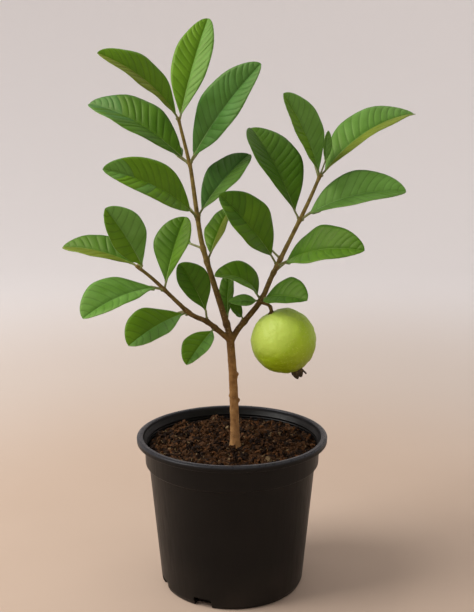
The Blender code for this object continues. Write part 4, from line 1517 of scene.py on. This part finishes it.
# The lip's top is painted this greyer, bluer colour as a painted sheen, and is made smoother.
LIP_PAINTED_SHEEN = (0.021, 0.021, 0.025, 1)
LIP_SHEEN_HEIGHTS = (0.1590, 0.1612)
LIP_SMOOTHER = 0.12
DRAG_SCALE = 420
DRAG_STRETCH = 0.02
DRAG_RANGE = (0.3, 0.7)
DRAG_BUMP = 0.05 * MM
DRAG_BUMP_STRENGTH = 0.5

pot_plastic, tree, shader = new_material("black_plastic", roughness=0.4, gloss=0.20)
clouds = clouded(tree, PLASTIC, PLASTIC_CLOUDS, PLASTIC_SPREAD)
drag = place_group(tree, streaks, scale=DRAG_SCALE, stretch=DRAG_STRETCH)["Height"]
place = add(tree, "TexCoord").outputs["Object"]
height = add(tree, "SeparateXYZ", {0: place}).outputs["Z"]
low = add(tree, "MapRange", {
    "Value": height, "From Min": DUST_TOP, "From Max": 0.0, "To Max": DUST_MOST,
}).outputs[0]
film = add(tree, "Math", {0: low, 1: clouds["Mask"]}, operation="MULTIPLY").outputs[0]
# A painted sheen on the lip's top; the same mask also lowers its roughness.
lip_sheen = add(tree, "MapRange", {
    "Value": height, "From Min": LIP_SHEEN_HEIGHTS[0], "From Max": LIP_SHEEN_HEIGHTS[1],
}).outputs[0]
colour = mixed(tree, lip_sheen, mixed(tree, film, clouds["Colour"], DUST), LIP_PAINTED_SHEEN)
tree.links.new(colour, shader.inputs["Base Color"])
gloss = add(tree, "MapRange", {
    "Value": drag, "From Min": DRAG_RANGE[0], "From Max": DRAG_RANGE[1],
    "To Min": PLASTIC_ROUGHNESS[0], "To Max": PLASTIC_ROUGHNESS[1],
}).outputs[0]
polished = add(tree, "Math", {0: lip_sheen, 1: -LIP_SMOOTHER, 2: gloss}, operation="MULTIPLY_ADD")
tree.links.new(polished.outputs[0], shader.inputs["Roughness"])
set_bump(tree, shader, drag, DRAG_BUMP, DRAG_BUMP_STRENGTH)
pot.data.materials.append(pot_plastic)
settle(pot, "pot_plastic", "pot")

# %% [markdown]
# ## Potting mix
#
# Potting mix is peat and composted bark: dark, reddish, damp, full of crumbs, chips and pale
# fibres. A bump map on a flat disc never looks like it, because its crumbs shade each other. So
# the bed is a turned body whose top is moved up by several sizes of noise, and is hollowed a little
# round the trunk, where water runs down. One function says how high the bed stands at any place,
# for its own top and later for the loose bits on it.

# %% Bed of potting mix
BED_RADIUS = 89.1
BED_RINGS = 80
BED_STEPS = 280
BED_RISE = 1.7
BED_WAVES = ((0.05, 2.8), (0.12, 2.8), (0.30, 1.8))
WAVES_APART = 70
BED_LOWEST = 0.2
BED_SEAM = 0.5
TOP_MARGIN = 0.1
HOLLOW = 2.4
HOLLOW_RADIUS = 22
# The bed keeps back from the drain notches: how far in its foot ends, low and high, and how far
# above the notches it starts to widen and is as wide as the pot.
FOOT_BACK = (16, 13)
WIDENS_FROM = 3
WIDENS_TO = 5
WALL_CLEAR = 0.6


def bed_height(x, y):
    """How high the potting mix stands at a place, in millimetres."""
    from_trunk = ((x - TRUNK_FOOT[0]) ** 2 + (y - TRUNK_FOOT[1]) ** 2) ** 0.5
    rough = sum(
        noise.noise((x * scale, y * scale, scale * WAVES_APART)) * depth for scale, depth in BED_WAVES
    )
    hollow = HOLLOW * max(0.0, 1 - from_trunk / HOLLOW_RADIUS)
    return SOIL_TOP + max(BED_LOWEST, BED_RISE + rough - hollow)


bed = bmesh.new()
side = [
    (0, POT_FLOOR + GAP),
    (FOOT_RADIUS - FOOT_BACK[0], POT_FLOOR + GAP),
    (FOOT_RADIUS - FOOT_BACK[1], DRAIN_HEIGHT + WIDENS_FROM),
    (FOOT_RADIUS - WALL_CLEAR, DRAIN_HEIGHT + WIDENS_TO),
    (WALL_TOP_RADIUS - POT_WALL - GAP, COLLAR_BOTTOM - POT_WALL),
    (COLLAR_RADIUS - POT_WALL - GAP, COLLAR_BOTTOM + POT_WALL),
    (BED_RADIUS, SOIL_TOP),
]
top = [(BED_RADIUS * (1 - ring / BED_RINGS), SOIL_TOP) for ring in range(1, BED_RINGS + 1)]
turn_profile(bed, [(r * MM, h * MM) for r, h in side + top], BED_STEPS)
bmesh.ops.recalc_face_normals(bed, faces=bed.faces)
for vert in bed.verts:
    x, y, z = vert.co / MM
    if z > SOIL_TOP - TOP_MARGIN and (x * x + y * y) ** 0.5 < BED_RADIUS - BED_SEAM:
        vert.co.z = bed_height(x, y) * MM
print("bed faces:", len(bed.faces))

# %% [markdown]
# ## Tones of the mix
#
# The bed and the bits on it share five tones, from wet peat to pale fibre, each a mottle of two
# colours with a soft crumbly bump. The bed itself takes the darkest, the wet peat, and as it is what
# shows between the bits it also stands for painted shade in the gaps.

# %% Potting mix materials
MIX_TONES = {
    "mix_dark": ((0.005, 0.0021, 0.0008), (0.023, 0.0098, 0.0040)),
    "mix_brown": ((0.026, 0.0110, 0.0038), (0.084, 0.0360, 0.0125)),
    "mix_red": ((0.054, 0.0205, 0.0064), (0.140, 0.0560, 0.0175)),
    "mix_straw": ((0.12, 0.075, 0.038), (0.26, 0.18, 0.09)),
    "mix_pale": ((0.30, 0.26, 0.21), (0.48, 0.43, 0.36)),
}
MIX_CLOUDS = 420
MIX_SPREAD = 0.18
MIX_BUMP = 0.35 * MM


def mix_material(name, tones):
    """One tone of potting mix, itself a mottle of two."""
    material, tree, shader = new_material(name, roughness=0.75, gloss=0.12)
    clouds = clouded(tree, tones, MIX_CLOUDS, MIX_SPREAD)
    tree.links.new(clouds["Colour"], shader.inputs["Base Color"])
    set_bump(tree, shader, clouds["Mask"], MIX_BUMP)
    return material


mix_materials = [mix_material(name, tones) for name, tones in MIX_TONES.items()]
# The bed takes the darkest tone, which also paints shade between the loose bits.
settle(new_object("potting_mix_bed", bed, mix_materials[:1]), "potting_mix", "potting_mix")

# %% [markdown]
# ## Where the loose bits lie
#
# Crumbs, chips and fibres are scattered by seeded random draws, evenly over the bed and clear of the
# trunk. Each bit is dealt its tone as a plain colour, mostly dark, with more brown in the drier
# patches, which are soft clouds of noise. Thousands of separate objects would be slow, and so
# would one huge bmesh, because each operator walks all of it. So the bits are made in batches that
# are then joined.

# %% Spots, tones and batches
BITS_SEED = 23
BITS_RADIUS = 87.0
TRUNK_CLEAR = 3.5
PATCH_SCALE = 0.05
PATCH_DRY = 0.12
BATCH = 64


def random_spot(chance):
    """A place on the bed that is clear of the trunk, even over its area."""
    while True:
        reach = BITS_RADIUS * chance.random() ** 0.5
        bearing = chance.uniform(0, 2 * pi)
        x = reach * cos(bearing)
        y = reach * sin(bearing)
        from_trunk = Vector((x - TRUNK_FOOT[0], y - TRUNK_FOOT[1])).length
        if from_trunk > TRUNK_RADIUS + FLARE_GROWTH + TRUNK_CLEAR:
            return x, y


def dealt_tone(x, y, tones, chance):
    """The number of the tone that a bit takes; the dark ones are brown in the drier patches."""
    tone = chance.choices(range(len(tones)), tones)[0]
    dry = noise.noise((x * PATCH_SCALE, y * PATCH_SCALE, 0)) > PATCH_DRY
    return 1 if dry and tone == 0 else tone


def joined_from_batches(count, add_one, chance):
    """Many small shapes in one bmesh, made a few dozen at a time and then joined."""
    joined = bmesh.new()
    for first in range(0, count, BATCH):
        batch = bmesh.new()
        for number in range(min(BATCH, count - first)):
            before = len(batch.faces)
            tone = add_one(batch, chance)
            batch.faces.ensure_lookup_table()
            for face in batch.faces[before:]:
                face.material_index = tone
        mesh = bpy.data.meshes.new("batch")
        batch.to_mesh(mesh)
        batch.free()
        joined.from_mesh(mesh)
        bpy.data.meshes.remove(mesh)
    return joined


print("tones:", ", ".join(MIX_TONES))

# %% [markdown]
# ## Crumbs, chips and fibres
#
# A crumb is the smallest icosphere, twenty faces, squashed at random. A chip of bark is a thin
# crooked box that lies nearly flat. A fibre is a slim tube on a curve that wanders over the bed.
# There are many more small crumbs than large ones: a power of the random number crowds the sizes
# towards the small end.

# %% Loose bits
# How many of each kind, and how often each takes the dark, brown, red, straw and pale tone.
CRUMBS = 5600
CRUMB_TONES = (54, 34, 11, 1, 0)
CRUMB_SIZES = (0.5, 4.4)
CRUMB_CROWD = 2.6
CRUMB_ROUGHNESS = (0.55, 1.4)
CRUMB_NARROWEST = 0.6
CRUMB_FLATNESS = 0.5
CRUMB_LIFT = 0.25
CHIPS = 1600
CHIP_TONES = (36, 33, 23, 8, 0)
CHIP_LENGTHS = (1.8, 8.0)
CHIP_WIDTHS = (0.9, 2.8)
CHIP_THICKNESSES = (0.4, 0.9)
CHIP_CROOKED = 0.15
CHIP_TILT = 0.6
CHIP_LIFT = 0.8
FIBRES = 260
FIBRE_TONES = (8, 32, 26, 32, 2)
FIBRE_POINTS = 7
FIBRE_SIDES = 5
FIBRE_RADII = (0.14, 0.38)
FIBRE_STEPS = (1.2, 2.8)
FIBRE_BEND = 0.5
FIBRE_WANDER = 0.25
FIBRE_LIFTS = (0.5, 1.7)


def add_crumb(shape, chance):
    """A rough lump that sits in the bed; gives the number of its tone."""
    x, y = random_spot(chance)
    size = CRUMB_SIZES[0] + (CRUMB_SIZES[1] - CRUMB_SIZES[0]) * chance.random() ** CRUMB_CROWD
    made = bmesh.ops.create_icosphere(shape, subdivisions=1, radius=1)
    for vert in made["verts"]:
        vert.co *= chance.uniform(*CRUMB_ROUGHNESS)
    narrow = size * chance.uniform(CRUMB_NARROWEST, 1)
    squash = Matrix.Diagonal((size * MM, narrow * MM, size * CRUMB_FLATNESS * MM, 1))
    lift = Matrix.Translation(Vector((x, y, bed_height(x, y) + size * CRUMB_LIFT)) * MM)
    turn = Euler([chance.uniform(0, 2 * pi) for axis in range(3)]).to_matrix().to_4x4()
    bmesh.ops.transform(shape, matrix=lift @ turn @ squash, verts=made["verts"])
    return dealt_tone(x, y, CRUMB_TONES, chance)


def add_chip(shape, chance):
    """A thin crooked chip of bark, lying nearly flat; gives the number of its tone."""
    x, y = random_spot(chance)
    made = bmesh.ops.create_cube(shape, size=1)
    size = [chance.uniform(*sizes) for sizes in (CHIP_LENGTHS, CHIP_WIDTHS, CHIP_THICKNESSES)]
    for vert in made["verts"]:
        vert.co += Vector([chance.uniform(-CHIP_CROOKED, CHIP_CROOKED) for axis in range(3)])
    squash = Matrix.Diagonal((*(Vector(size) * MM), 1))
    tilt = Euler((chance.gauss(0, CHIP_TILT), chance.gauss(0, CHIP_TILT), chance.uniform(0, 2 * pi)))
    lift = Matrix.Translation(Vector((x, y, bed_height(x, y) + CHIP_LIFT)) * MM)
    bmesh.ops.transform(shape, matrix=lift @ tilt.to_matrix().to_4x4() @ squash, verts=made["verts"])
    return dealt_tone(x, y, CHIP_TONES, chance)


def add_fibre(shape, chance):
    """A fine root or fibre that wanders over the bed; gives the number of its tone."""
    x, y = random_spot(chance)
    bearing = chance.uniform(0, 2 * pi)
    bend = chance.uniform(-FIBRE_BEND, FIBRE_BEND)
    step = chance.uniform(*FIBRE_STEPS)
    points = []
    while len(points) < FIBRE_POINTS:
        points.append((x, y, bed_height(x, y) + chance.uniform(*FIBRE_LIFTS)))
        bearing += bend + chance.uniform(-FIBRE_WANDER, FIBRE_WANDER)
        if ((x + step * cos(bearing)) ** 2 + (y + step * sin(bearing)) ** 2) ** 0.5 > BITS_RADIUS:
            bearing += pi
        x += step * cos(bearing)
        y += step * sin(bearing)
    path = smooth_way(points, 2)
    radius = chance.uniform(*FIBRE_RADII)
    add_tube(shape, path, [radius] * len(path), FIBRE_SIDES)
    return dealt_tone(x, y, FIBRE_TONES, chance)


# Each kind's name, how many there are, how one is made, and the angle past which an edge is sharp.
KINDS_OF_BITS = (
    ("crumbs", CRUMBS, add_crumb, 50),
    ("chips", CHIPS, add_chip, 30),
    ("fibres", FIBRES, add_fibre, None),
)
chance = random.Random(BITS_SEED)
for kind, count, add_one, sharp_edge in KINDS_OF_BITS:
    bits = joined_from_batches(count, add_one, chance)
    piece = new_object(f"potting_mix_{kind}", bits, mix_materials)
    if sharp_edge:
        piece.data.set_sharp_from_angle(angle=radians(sharp_edge))
    settle(piece, "potting_mix")

# %% [markdown]
# ## Done
#
# The last cell gathers the size of the imported model's box and of the dressed one.

# %% Size and finish
size = {"cad": [list(corner) for corner in cad_box], "visual": [list(corner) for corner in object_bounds()]}
